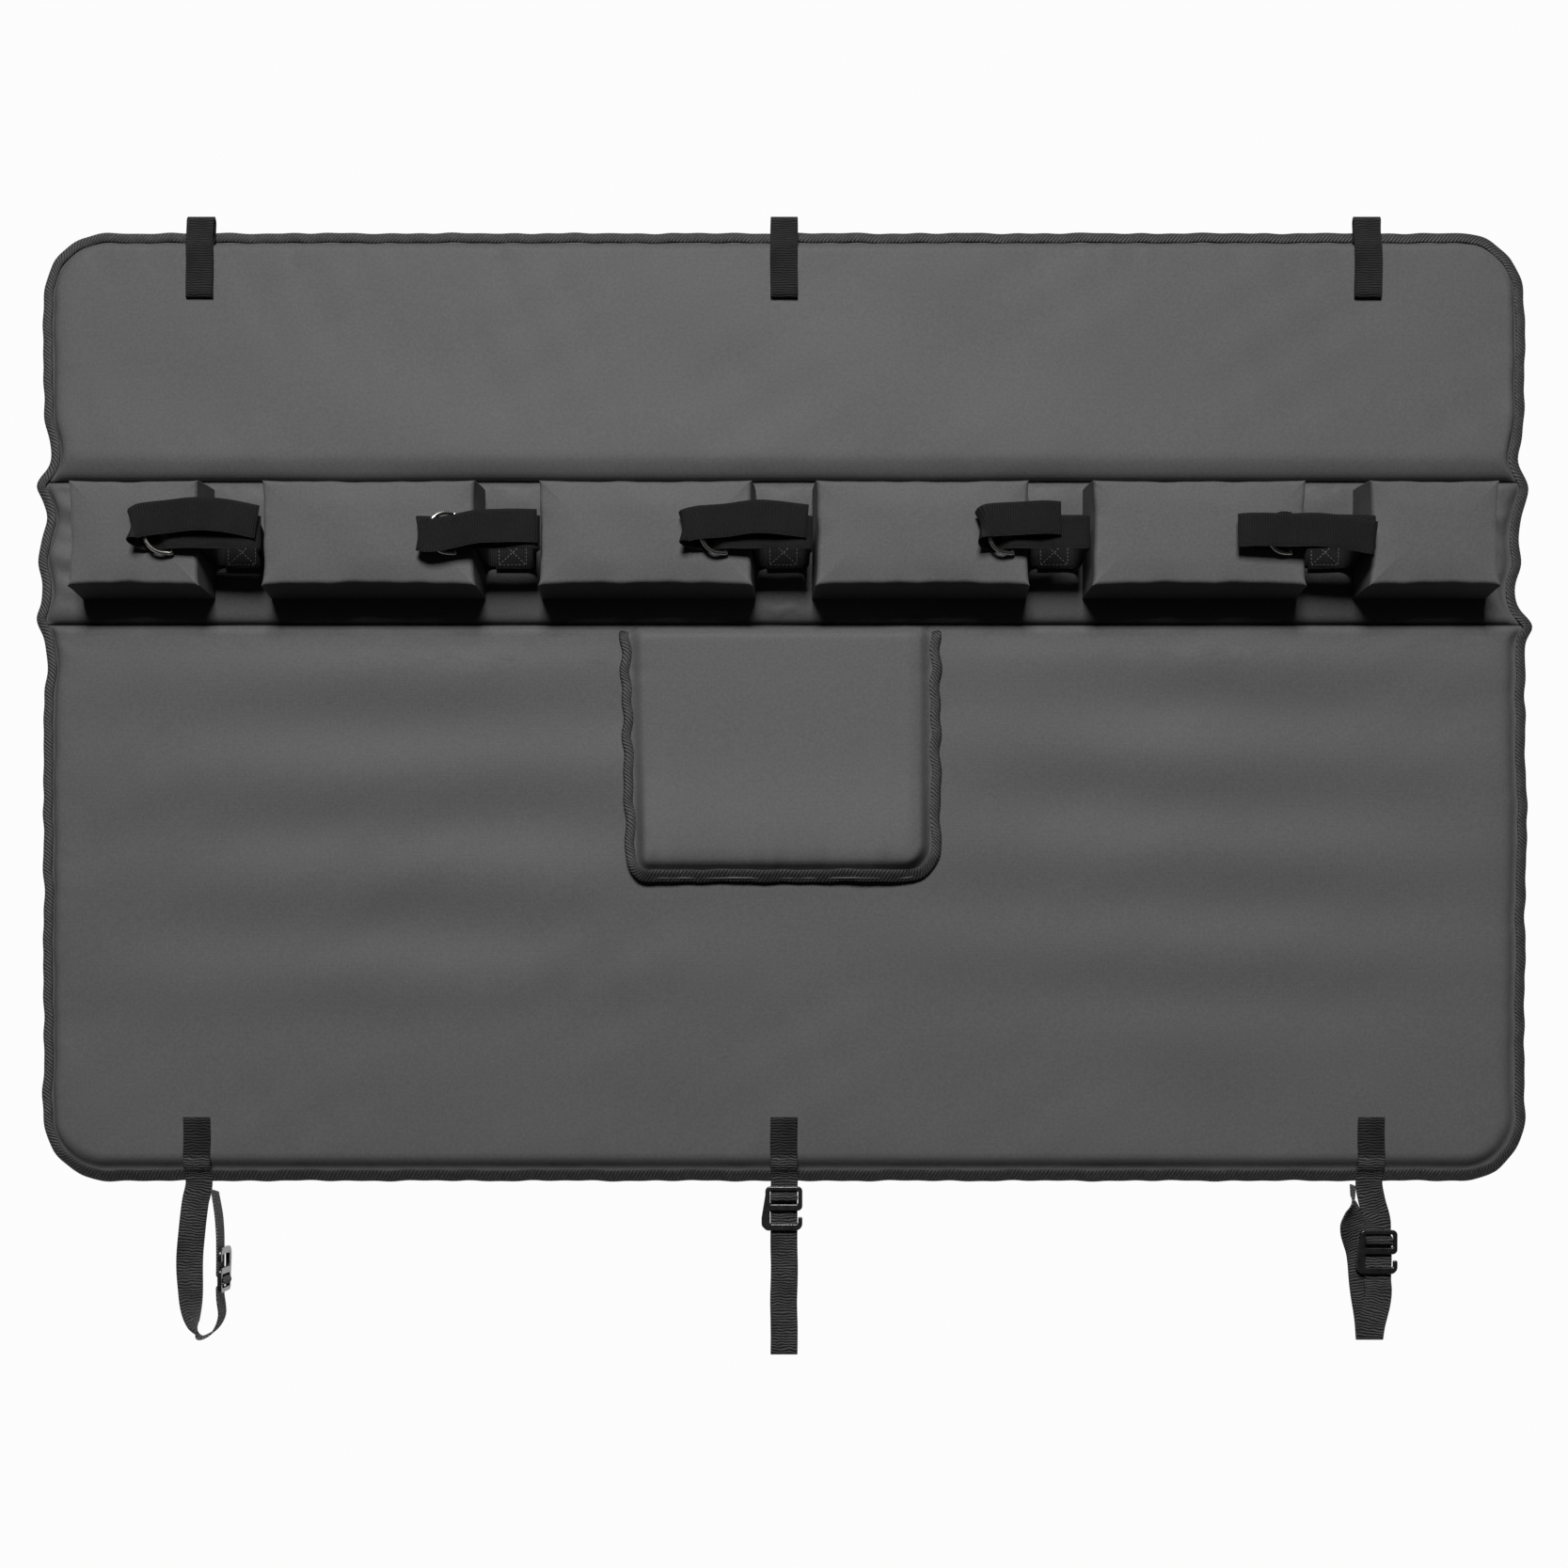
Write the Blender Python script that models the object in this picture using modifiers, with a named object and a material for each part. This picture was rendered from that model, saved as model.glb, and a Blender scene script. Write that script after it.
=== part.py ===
"""Tailgate bike pad: a padded cover that hangs over a pickup's tailgate and carries five bikes.

The pad lies flat with its outer face up.  X runs along its width, Y from the lower panel up to
the upper panel, and Z out of the blocks.  The origin is the centre of the block strip's
underside.  All sizes are in metres.
"""

import math

import bmesh
import bpy
import numpy as np
from mathutils import Matrix, Vector

# Pad panels
SIDE_MARGIN = 0.0435
UPPER_HEIGHT = 0.231
STRIP_HEIGHT = 0.132
LOWER_HEIGHT = 0.515
CORNER_RADIUS = 0.060
FOLD_BULGE = 0.007
FOLD_BULGE_RUN = 0.045

# Layers
CLOTH = 0.001
FOAM = 0.011
TAPE = 0.0008
WEBBING = 0.0015
CLEARANCE = 0.0003
SEAM_ALLOWANCE = 0.0012
BINDING_WIDTH = 0.009
SEAM_FLANGE = 0.003
SHOULDER = 0.012

# Foam blocks between the bikes' down tubes
CRADLES = 5
CRADLE_PITCH = 0.249
CRADLE_WIDTH = 0.059
END_BLOCK_LENGTH = 0.115
BLOCK_DEPTH = 0.093
BLOCK_HEIGHT = 0.050
BLOCK_FLARE = 0.003
BLOCK_SHIFT = 0.006
BLOCK_EDGE = 0.006

# Flap over the tailgate handle, and the window under it
FLAP_LEFT = -0.151
FLAP_RIGHT = 0.144
FLAP_HEIGHT = 0.236
FLAP_FOAM = 0.006
FLAP_RADIUS_LEFT = 0.022
FLAP_RADIUS_RIGHT = 0.035
WINDOW_WIDTH = 0.200
WINDOW_HEIGHT = 0.130
WINDOW_DROP = 0.054
WINDOW_RADIUS = 0.025

# Bike straps: how far past the left block's wall each strap folds and its ring lies, how far
# past the right block's wall it bulges and ends, and the heights on the strip at which its
# band starts, arches and ends
BIKE_STRAP_WIDTH = 0.030
BIKE_STRAPS = (
    (0.0545, 0.0215, -0.0005, -0.0015, (0.0132, 0.0185, 0.0119)),
    (0.0475, 0.0165, 0.0005, -0.0005, (-0.0006, 0.0070, 0.0086)),
    (0.0605, 0.0225, -0.0045, -0.0085, (0.0108, 0.0155, 0.0125)),
    (0.0435, 0.0145, -0.0055, -0.0315, (0.0130, 0.0150, 0.0153)),
    (0.0625, 0.0145, 0.0015, 0.0005, (0.0048, 0.0036, -0.0023)),
)
STRAP_ARCH = 0.006
LEG_GAP = 0.0065
SLACK = 0.001
PATCH_LENGTH = 0.032
PATCH_SHIFT = -0.002
KEEPER_WIDTH = 0.025
RING_WIRE = 0.004
RING_LENGTH = 0.024
RING_SLACK = 0.001
RING_SQUARE = 0.3
RING_SHIFT = 0.004
RING_TILT = math.radians(20.0)
RING_TURNS = 12

# Loops on the top edge, tailgate straps and their hooks
EDGE_STRAP_WIDTH = 0.025
LOOP_INSET = 0.148
LOOP_SEWN_LENGTH = 0.041
LOOP_REACH = 0.0125
LOOP_EYE = 0.0065
STRAP_INSET = 0.145
STRAP_SEWN_LENGTH = 0.037
LEFT_HANG = 0.142
CENTRE_HANG = 0.160
RIGHT_HANG = 0.146
CENTRE_HOOK_DROP = 0.0045
RIGHT_HOOK_DROP = 0.045
LEFT_HOOK_DROP = 0.100
HOOK_THICKNESS = 0.004
HOOK_EDGE = 0.0006
HOOK_BAR = 0.004
HOOK_SLACK = 0.0005
HOOK_SLOT = 0.0122
HOOK_TOP_BAR = 0.0042
HOOK_MIDDLE_BAR = 0.0061
HOOK_SIDE = 0.004
HOOK_SPINE = 0.0078
HOOK_STEP = 0.0035
HOOK_TIP = 0.0065
HOOK_ROUND = 0.0045
HOOK_WAIST_ROUND = 0.010
SLOT_ROUND = 0.0015

# Heights that follow from the layers
RIM_BOTTOM = TAPE + CLEARANCE
FLANGE_BOTTOM = RIM_BOTTOM + CLOTH + CLEARANCE
FLANGE_TOP = FLANGE_BOTTOM + CLOTH
BINDING_TOP = FLANGE_TOP + CLEARANCE + TAPE
FOAM_BOTTOM = CLOTH + CLEARANCE
FOAM_TOP = FOAM_BOTTOM + FOAM
PANEL_TOP = FOAM_TOP + CLEARANCE + CLOTH
RIM_INSET = TAPE + SEAM_ALLOWANCE
FLANGE_INSET = BINDING_WIDTH + 2 * CLEARANCE + CLOTH
BLOCK_BASE = PANEL_TOP + CLEARANCE
BLOCK_TOP = BLOCK_BASE + BLOCK_HEIGHT
WEBBING_LIFT = CLEARANCE + WEBBING / 2

# The row of blocks, and the pad round it
BLOCK_ROW = (CRADLES - 1) * CRADLE_PITCH + CRADLE_WIDTH + 2 * END_BLOCK_LENGTH
PAD_WIDTH = BLOCK_ROW + 2 * SIDE_MARGIN

# Lines that the panels meet on
FOLD_HIGH = STRIP_HEIGHT / 2
FOLD_LOW = -STRIP_HEIGHT / 2
PAD_HIGH = FOLD_HIGH + UPPER_HEIGHT
PAD_LOW = FOLD_LOW - LOWER_HEIGHT

ARC_POINTS = 7
BULGE_POINTS = 4
SHOULDER_STEPS = 3


# Scene, collections and materials

for old in list(bpy.data.objects):
    bpy.data.objects.remove(old)

pad = bpy.data.collections.new("tailgate_bike_pad")
guides = bpy.data.collections.new("tailgate_bike_pad_guides")
bpy.context.scene.collection.children.link(pad)
bpy.context.scene.collection.children.link(guides)


def finish(name, colour, roughness, metallic=0.0):
    """A Principled material of one colour."""
    made = bpy.data.materials.new(name)
    made.use_nodes = True
    shader = made.node_tree.nodes["Principled BSDF"]
    shader.inputs["Base Color"].default_value = (*colour, 1.0)
    shader.inputs["Roughness"].default_value = roughness
    shader.inputs["Metallic"].default_value = metallic
    return made


COATED_FABRIC = finish("coated_fabric", (0.10, 0.10, 0.10), 0.5)
BACKING_CLOTH = finish("backing_cloth", (0.03, 0.03, 0.03), 0.85)
FOAM_CORE = finish("foam_core", (0.06, 0.06, 0.06), 0.95)
BINDING_TAPE = finish("binding_tape", (0.025, 0.025, 0.025), 0.8)
STRAP_WEBBING = finish("strap_webbing", (0.018, 0.018, 0.018), 0.75)
BLACK_METAL = finish("black_metal", (0.012, 0.012, 0.012), 0.3, 0.8)
NICKEL = finish("nickel", (0.60, 0.60, 0.60), 0.25, 1.0)


# Ways of building

def place(name, data, material):
    """A named object with its material, linked into the pad's collection."""
    made = bpy.data.objects.new(name, data)
    data.materials.append(material)
    pad.objects.link(made)
    return made


def loft(name, rings, material, cap_first=False, cap_last=False, closed=False):
    """Skin through outlines of equal length, each a list of points."""
    bm = bmesh.new()
    rows = [[bm.verts.new(point) for point in ring] for ring in rings]
    pairs = list(zip(rows, rows[1:] + rows[:1] if closed else rows[1:]))
    for inner, outer in pairs:
        for k in range(len(inner)):
            after = (k + 1) % len(inner)
            bm.faces.new((inner[k], inner[after], outer[after], outer[k]))
    if cap_first:
        bm.faces.new(list(reversed(rows[0])))
    if cap_last:
        bm.faces.new(rows[-1])
    mesh = bpy.data.meshes.new(name)
    bm.to_mesh(mesh)
    bm.free()
    return place(name, mesh, material)


def thicken(made, thickness, offset):
    """Solidify an open surface; offset -1 grows it behind its normals and 0 on both sides."""
    shell = made.modifiers.new("thickness", "SOLIDIFY")
    shell.thickness = thickness
    shell.offset = offset
    shell.use_even_offset = True
    shell.use_quality_normals = True
    return made


def smooth_path(points, steps):
    """Stations on a smooth curve through rows of numbers, with steps spans between two rows.

    Each slope is the harmonic mean of its neighbours', or none where they turn back, so the
    curve never swings past its rows and keeps its clearance from what it lies on.
    """
    rows = np.array(points, dtype=float)
    length = np.linalg.norm(np.diff(rows[:, :3], axis=0), axis=1)
    straight = np.diff(rows, axis=0) / length[:, None]
    before, after = straight[:-1], straight[1:]
    onward = before * after > 0
    mean = 2 * before * after / np.where(onward, before + after, 1.0)
    slope = np.vstack((straight[:1], np.where(onward, mean, 0.0), straight[-1:]))
    stations = []
    for k in range(len(rows) - 1):
        for t in np.arange(steps) / steps:
            stations.append(
                rows[k] * (2 * t**3 - 3 * t**2 + 1)
                + rows[k + 1] * (3 * t**2 - 2 * t**3)
                + slope[k] * length[k] * (t**3 - 2 * t**2 + t)
                + slope[k + 1] * length[k] * (t**3 - t**2)
            )
    stations.append(rows[-1])
    return np.array(stations)


def webbing(name, stations, width):
    """Webbing laid along stations of x, y, z and the roll of its width about the Y axis."""
    bm = bmesh.new()
    last = None
    for x, y, z, roll, turn in stations:
        side = Vector((math.cos(roll) * math.cos(turn), math.sin(turn), math.sin(roll)))
        centre = Vector((x, y, z))
        edge = [bm.verts.new(centre + side * reach) for reach in (-width / 2, width / 2)]
        if last:
            bm.faces.new((last[0], last[1], edge[1], edge[0]))
        last = edge
    mesh = bpy.data.meshes.new(name)
    bm.to_mesh(mesh)
    bm.free()
    return thicken(place(name, mesh, STRAP_WEBBING), WEBBING, 0.0)


def poly_curve(name, outlines, collection, closed=True, height=0.0):
    """A flat curve of straight spans through points in its own XY plane."""
    curve = bpy.data.curves.new(name, "CURVE")
    curve.dimensions = "2D"
    for outline in outlines:
        spline = curve.splines.new("POLY")
        spline.points.add(len(outline) - 1)
        for point, (x, y) in zip(spline.points, outline):
            point.co = (x, y, 0.0, 1.0)
        spline.use_cyclic_u = closed
    made = bpy.data.objects.new(name, curve)
    made.location.z = height
    collection.objects.link(made)
    return made


def rounded(corners, points=3):
    """Outline through corners of x, y and radius, with an arc at each round one."""
    outline = []
    for k, (x, y, radius) in enumerate(corners):
        here = Vector((x, y))
        if radius == 0.0:
            outline.append((x, y))
            continue
        back = (Vector(corners[k - 1][:2]) - here).normalized()
        ahead = (Vector(corners[(k + 1) % len(corners)][:2]) - here).normalized()
        half = back.angle(ahead) / 2
        centre = here + (back + ahead).normalized() * radius / math.sin(half)
        start = here + back * radius / math.tan(half) - centre
        sweep = math.pi - 2 * half
        if back.x * ahead.y - back.y * ahead.x > 0:
            sweep = -sweep
        for step in range(points):
            angle = sweep * step / (points - 1)
            arm = Matrix.Rotation(angle, 2) @ start
            outline.append(tuple(centre + arm))
    return outline


def binding(name, path, closed, height):
    """Tape folded over a rim: a U section swept along a flat path, open towards its left."""
    soft = TAPE * 0.7
    section = poly_curve(
        name + "_section",
        [[
            (0.0, soft), (-soft, 0.0), (-BINDING_WIDTH, 0.0), (-BINDING_WIDTH, TAPE),
            (-TAPE, TAPE), (-TAPE, BINDING_TOP - TAPE), (-BINDING_WIDTH, BINDING_TOP - TAPE),
            (-BINDING_WIDTH, BINDING_TOP), (-soft, BINDING_TOP), (0.0, BINDING_TOP - soft),
        ]],
        guides,
    )
    section.hide_render = True
    section.display_type = "WIRE"
    made = poly_curve(name, [path], pad, closed, height)
    made.data.dimensions = "3D"
    made.data.twist_mode = "Z_UP"
    made.data.materials.append(BINDING_TAPE)
    made.data.bevel_mode = "OBJECT"
    made.data.bevel_object = section
    made.data.use_fill_caps = not closed
    return made


# Outlines of the pad

def arc(cx, cy, radius, start, points):
    """Quarter circle, counter-clockwise from the start angle in degrees."""
    angles = [math.radians(start + 90.0 * k / (points - 1)) for k in range(points)]
    return [(cx + radius * math.cos(a), cy + radius * math.sin(a)) for a in angles]


def half_width(y):
    """Half the pad's width at y: the edge bulges out at both folds."""
    wide = PAD_WIDTH / 2
    for fold in (FOLD_LOW, FOLD_HIGH):
        away = min(abs(y - fold) / FOLD_BULGE_RUN, 1.0)
        wide += FOLD_BULGE * math.cos(away * math.pi / 2) ** 2
    return wide


def both_sides(right):
    """Closed outline, counter-clockwise, from the points going up its right side."""
    return right + [(-x, y) for x, y in reversed(right)]


def lower_corner(inset):
    """Round lower right corner of the pad, moved in by an inset."""
    centre = PAD_WIDTH / 2 - CORNER_RADIUS, PAD_LOW + CORNER_RADIUS
    return arc(*centre, CORNER_RADIUS - inset, -90.0, ARC_POINTS)


def upper_corner(inset):
    """Round upper right corner of the pad, moved in by an inset."""
    centre = PAD_WIDTH / 2 - CORNER_RADIUS, PAD_HIGH - CORNER_RADIUS
    return arc(*centre, CORNER_RADIUS - inset, 0.0, ARC_POINTS)


def bulge(end, direction, inset):
    """Points of the right side from a fold line at y = end, in order away from it."""
    ys = [end + direction * FOLD_BULGE_RUN * k / BULGE_POINTS for k in range(BULGE_POINTS + 1)]
    return [(half_width(y) - inset, y) for y in ys]


def pad_outline(inset):
    """The whole pad's outline, moved in by an inset."""
    right = lower_corner(inset)
    for fold in (FOLD_LOW, FOLD_HIGH):
        right += list(reversed(bulge(fold, -1.0, inset)))[:-1] + bulge(fold, 1.0, inset)
    return both_sides(right + upper_corner(inset))


def upper_outline(inset, seam):
    """Upper panel: inset from the pad's edge and from its seam."""
    return both_sides(bulge(FOLD_HIGH + seam, 1.0, inset) + upper_corner(inset))


def strip_outline(inset, seam):
    """Block strip: inset from the pad's edge and from both seams."""
    low = bulge(FOLD_LOW + seam, 1.0, inset)
    high = bulge(FOLD_HIGH - seam, -1.0, inset)
    return both_sides(low + list(reversed(high)))


def lower_outline(inset, seam):
    """Lower panel: inset from the pad's edge and from its seam."""
    high = bulge(FOLD_LOW - seam, -1.0, inset)
    return both_sides(lower_corner(inset) + list(reversed(high)))


FLAP_TOP = FOLD_LOW - SEAM_FLANGE
FLAP_LOW = FLAP_TOP - FLAP_HEIGHT
WINDOW_X = (FLAP_LEFT + FLAP_RIGHT) / 2
WINDOW_TOP = FOLD_LOW - WINDOW_DROP
WINDOW_LOW = WINDOW_TOP - WINDOW_HEIGHT


def window_outline(outset, points):
    """Window in the lower panel, moved out into the panel by an outset."""
    cx = WINDOW_WIDTH / 2 - WINDOW_RADIUS
    radius = WINDOW_RADIUS + outset
    corner_points = points // 4
    right = arc(cx, WINDOW_LOW + WINDOW_RADIUS, radius, -90.0, corner_points)
    right += arc(cx, WINDOW_TOP - WINDOW_RADIUS, radius, 0.0, corner_points)
    return [(x + WINDOW_X, y) for x, y in both_sides(right)]


def at(outline, z):
    """A flat outline lifted to a height."""
    return [(x, y, z) for x, y in outline]


# Front covers, foam cores and the back

SHOULDER_CURVE = [
    (1.0 - math.cos(math.pi / 2 * k / SHOULDER_STEPS), math.sin(math.pi / 2 * k / SHOULDER_STEPS))
    for k in range(1, SHOULDER_STEPS + 1)
]


def cover_rings(outline, rim, rim_seam, flange, flange_seam, rise):
    """Rings of a sewn cover, from its flat flange up a round shoulder."""
    rings = [at(outline(rim, rim_seam), FLANGE_TOP), at(outline(flange, flange_seam), FLANGE_TOP)]
    for run, lift in SHOULDER_CURVE:
        inset = flange + SHOULDER * run
        seam = flange_seam + SHOULDER * run
        rings.append(at(outline(inset, seam), FLANGE_TOP + rise * lift))
    return rings


def foam_rings(outline, bottom, top):
    """Rings of a foam core that fits under a cover's shoulder, bottom first."""
    rings = []
    for run, z in ((0.45, bottom), (0.45, bottom + (top - bottom) * 0.5), (0.65, top - 0.0018)):
        rings.append(at(outline(FLANGE_INSET + SHOULDER * run, SEAM_FLANGE + SHOULDER * run), z))
    rings.append(at(outline(FLANGE_INSET + SHOULDER, SEAM_FLANGE + SHOULDER), top))
    return rings


def cover(name, outline):
    """Front cover of a panel without a window."""
    rise = PANEL_TOP - FLANGE_TOP
    rings = cover_rings(outline, RIM_INSET, CLEARANCE, FLANGE_INSET, SEAM_FLANGE, rise)
    return thicken(loft(name, rings, COATED_FABRIC, cap_last=True), CLOTH, -1.0)


def core(name, outline):
    """Foam core of a panel without a window."""
    rings = foam_rings(outline, FOAM_BOTTOM, FOAM_TOP)
    return loft(name, rings, FOAM_CORE, cap_first=True, cap_last=True)


cover("upper_cover", upper_outline)
core("upper_foam", upper_outline)
cover("strip_cover", strip_outline)
core("strip_foam", strip_outline)


def window_ring(inset, seam):
    """Window outline in as many points as the lower panel's."""
    return window_outline(inset, len(lower_outline(RIM_INSET, CLEARANCE)))


lower = cover_rings(
    lower_outline, RIM_INSET, CLEARANCE, FLANGE_INSET, SEAM_FLANGE, PANEL_TOP - FLANGE_TOP
)
hole = cover_rings(
    window_ring, RIM_INSET, CLEARANCE, FLANGE_INSET, SEAM_FLANGE, PANEL_TOP - FLANGE_TOP
)
thicken(loft("lower_cover", lower + hole[::-1], COATED_FABRIC), CLOTH, -1.0)

lower = foam_rings(lower_outline, FOAM_BOTTOM, FOAM_TOP)
hole = foam_rings(window_ring, FOAM_BOTTOM, FOAM_TOP)
loft("lower_foam", lower + hole[::-1], FOAM_CORE, closed=True)

around = len(pad_outline(0.0))
step_end = FLANGE_INSET + RIM_BOTTOM
thicken(
    loft(
        "back_cover",
        [
            at(pad_outline(RIM_INSET), RIM_BOTTOM),
            at(pad_outline(FLANGE_INSET), RIM_BOTTOM),
            at(pad_outline(step_end), 0.0),
            at(window_outline(step_end, around), 0.0),
            at(window_outline(FLANGE_INSET, around), RIM_BOTTOM),
            at(window_outline(RIM_INSET, around), RIM_BOTTOM),
        ],
        BACKING_CLOTH,
    ),
    CLOTH,
    1.0,
)

binding("edge_binding", pad_outline(0.0), True, 0.0)
binding("window_binding", window_outline(0.0, 24)[::-1], True, 0.0)


# Flap over the window

FLAP_BASE = PANEL_TOP + CLEARANCE


def flap_outline(inset, root):
    """Flap: inset from its three bound edges and from its root at the seam."""
    top = FLAP_TOP - root
    right_centre = FLAP_RIGHT - FLAP_RADIUS_RIGHT, FLAP_LOW + FLAP_RADIUS_RIGHT
    left_centre = FLAP_LEFT + FLAP_RADIUS_LEFT, FLAP_LOW + FLAP_RADIUS_LEFT
    outline = [(FLAP_LEFT + inset, top)]
    outline += arc(*left_centre, FLAP_RADIUS_LEFT - inset, 180.0, ARC_POINTS)
    outline += arc(*right_centre, FLAP_RADIUS_RIGHT - inset, -90.0, ARC_POINTS)
    return outline + [(FLAP_RIGHT - inset, top)]


def lifted(rings, height):
    """The same rings, higher by a height."""
    return [[(x, y, z + height) for x, y, z in ring] for ring in rings]


flap_rise = FOAM_BOTTOM + FLAP_FOAM + CLEARANCE + CLOTH - FLANGE_TOP
flap_rings = cover_rings(flap_outline, RIM_INSET, 0.0, FLANGE_INSET, SEAM_FLANGE, flap_rise)
flap_cover = loft("flap_cover", lifted(flap_rings, FLAP_BASE), COATED_FABRIC, cap_last=True)
thicken(flap_cover, CLOTH, -1.0)
flap_core = foam_rings(flap_outline, FOAM_BOTTOM, FOAM_BOTTOM + FLAP_FOAM)
loft("flap_foam", lifted(flap_core, FLAP_BASE), FOAM_CORE, cap_first=True, cap_last=True)
flap_back = [
    at(flap_outline(RIM_INSET, 0.0), RIM_BOTTOM),
    at(flap_outline(FLANGE_INSET, CLOTH), RIM_BOTTOM),
    at(flap_outline(step_end, CLOTH + RIM_BOTTOM), 0.0),
]
thicken(loft("flap_back", lifted(flap_back, FLAP_BASE), BACKING_CLOTH, cap_last=True), CLOTH, 1.0)
binding("flap_binding", flap_outline(0.0, 0.0), False, FLAP_BASE)


# Blocks

def block_box(name, length, shrink, material, open_below):
    """Tapered block standing on the strip: wider at its foot, moved in by a shrink."""
    bm = bmesh.new()
    bmesh.ops.create_cube(bm, size=1.0)
    for vert in bm.verts:
        flare = 0.0 if vert.co.z > 0 else BLOCK_FLARE
        vert.co.x *= length + 2 * (flare - shrink)
        vert.co.y *= BLOCK_DEPTH + 2 * (flare - shrink)
        vert.co.z = BLOCK_TOP - shrink if vert.co.z > 0 else BLOCK_BASE
    if open_below:
        foot = [face for face in bm.faces if face.normal.z < -0.9]
        bmesh.ops.delete(bm, geom=foot, context="FACES_ONLY")
    mesh = bpy.data.meshes.new(name)
    bm.to_mesh(mesh)
    bm.free()
    made = place(name, mesh, material)
    edge = made.modifiers.new("round_edges", "BEVEL")
    edge.width = BLOCK_EDGE - shrink
    edge.segments = 2
    return made


def block_spans():
    """Left and right end of each block, from left to right."""
    first = -(CRADLES - 1) / 2 * CRADLE_PITCH
    gaps = [first + k * CRADLE_PITCH for k in range(CRADLES)]
    lefts = [gaps[0] - CRADLE_WIDTH / 2 - END_BLOCK_LENGTH] + [x + CRADLE_WIDTH / 2 for x in gaps]
    rights = [x - CRADLE_WIDTH / 2 for x in gaps]
    rights.append(gaps[-1] + CRADLE_WIDTH / 2 + END_BLOCK_LENGTH)
    return gaps, list(zip(lefts, rights))


CRADLE_CENTRES, BLOCK_SPANS = block_spans()

for number, (left, right) in enumerate(BLOCK_SPANS, 1):
    place_x = (left + right) / 2
    shell = block_box(f"block_cover_{number}", right - left, 0.0, COATED_FABRIC, True)
    thicken(shell, CLOTH, -1.0)
    filling = block_box(f"block_foam_{number}", right - left, CLOTH + CLEARANCE, FOAM_CORE, False)
    for made in (shell, filling):
        made.location.x = place_x
        made.location.y = BLOCK_SHIFT


# Bike straps with their rings and keepers

RING_HALF = BIKE_STRAP_WIDTH / 2 + RING_WIRE / 2 + RING_SLACK
RING_RUN = RING_LENGTH * math.cos(RING_TILT)
RING_RISE = RING_LENGTH * math.sin(RING_TILT)
BLOCK_LYING = BLOCK_TOP + WEBBING_LIFT
WRAP = RING_WIRE / 2 + WEBBING_LIFT + CLEARANCE
RING_SEAT = BLOCK_LYING + WRAP
KEEPER_Z = PANEL_TOP + WEBBING_LIFT
STRAP_Z = KEEPER_Z + WEBBING + CLEARANCE
OVER_WRAP = WRAP + WEBBING + CLEARANCE
OVER_RING = RING_SEAT + OVER_WRAP
FLAT_ALONG_Y = (0.0, math.pi / 2)
FLAT_ALONG_X = (0.0, 0.0)


def bike_ring(name, x):
    """D-shaped wire ring: a straight bar on the right, tilted up to its round end."""
    outline = [(0.0, -RING_HALF), (0.0, RING_HALF)]
    for k in range(RING_TURNS + 1):
        angle = math.pi * k / RING_TURNS
        reach = RING_LENGTH * (RING_SQUARE + (1 - RING_SQUARE) * math.sin(angle))
        outline.append((-reach, RING_HALF * math.cos(angle)))
    ring = poly_curve(name, [outline], pad)
    ring.data.dimensions = "3D"
    ring.data.bevel_depth = RING_WIRE / 2
    ring.data.bevel_resolution = 2
    ring.data.materials.append(NICKEL)
    ring.location = (x, RING_SHIFT, RING_SEAT)
    ring.rotation_euler = (0.0, RING_TILT, 0.0)


def ring_keeper(name, wall, ring_x):
    """Keeper: from the cradle's floor up the left block's wall, round the ring's bar and back."""
    foot = wall + BLOCK_FLARE + WEBBING_LIFT + CLEARANCE
    head = wall + WEBBING_LIFT + CLEARANCE
    centre = wall + CRADLE_WIDTH / 2
    path = [
        (centre + PATCH_LENGTH / 2, PATCH_SHIFT, KEEPER_Z),
        (foot + 8 * SLACK, PATCH_SHIFT, KEEPER_Z),
        (foot + 1.8 * SLACK, PATCH_SHIFT, KEEPER_Z + 3.5 * SLACK),
        (foot, PATCH_SHIFT, KEEPER_Z + 12 * SLACK),
        (head + SLACK, RING_SHIFT, BLOCK_TOP - 1.5 * BLOCK_EDGE),
        (head - 2 * SLACK, RING_SHIFT, BLOCK_LYING - 1.2 * SLACK),
        (head - 8 * SLACK, RING_SHIFT, BLOCK_LYING + CLEARANCE),
        (ring_x, RING_SHIFT, RING_SEAT - WRAP),
        (ring_x - WRAP, RING_SHIFT, RING_SEAT),
        (ring_x, RING_SHIFT, RING_SEAT + WRAP),
        (ring_x + 2 * WRAP, RING_SHIFT, BLOCK_LYING + WEBBING + 2 * CLEARANCE),
    ]
    webbing(name, smooth_path([(*point, *FLAT_ALONG_Y) for point in path], 2), KEEPER_WIDTH)


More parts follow.
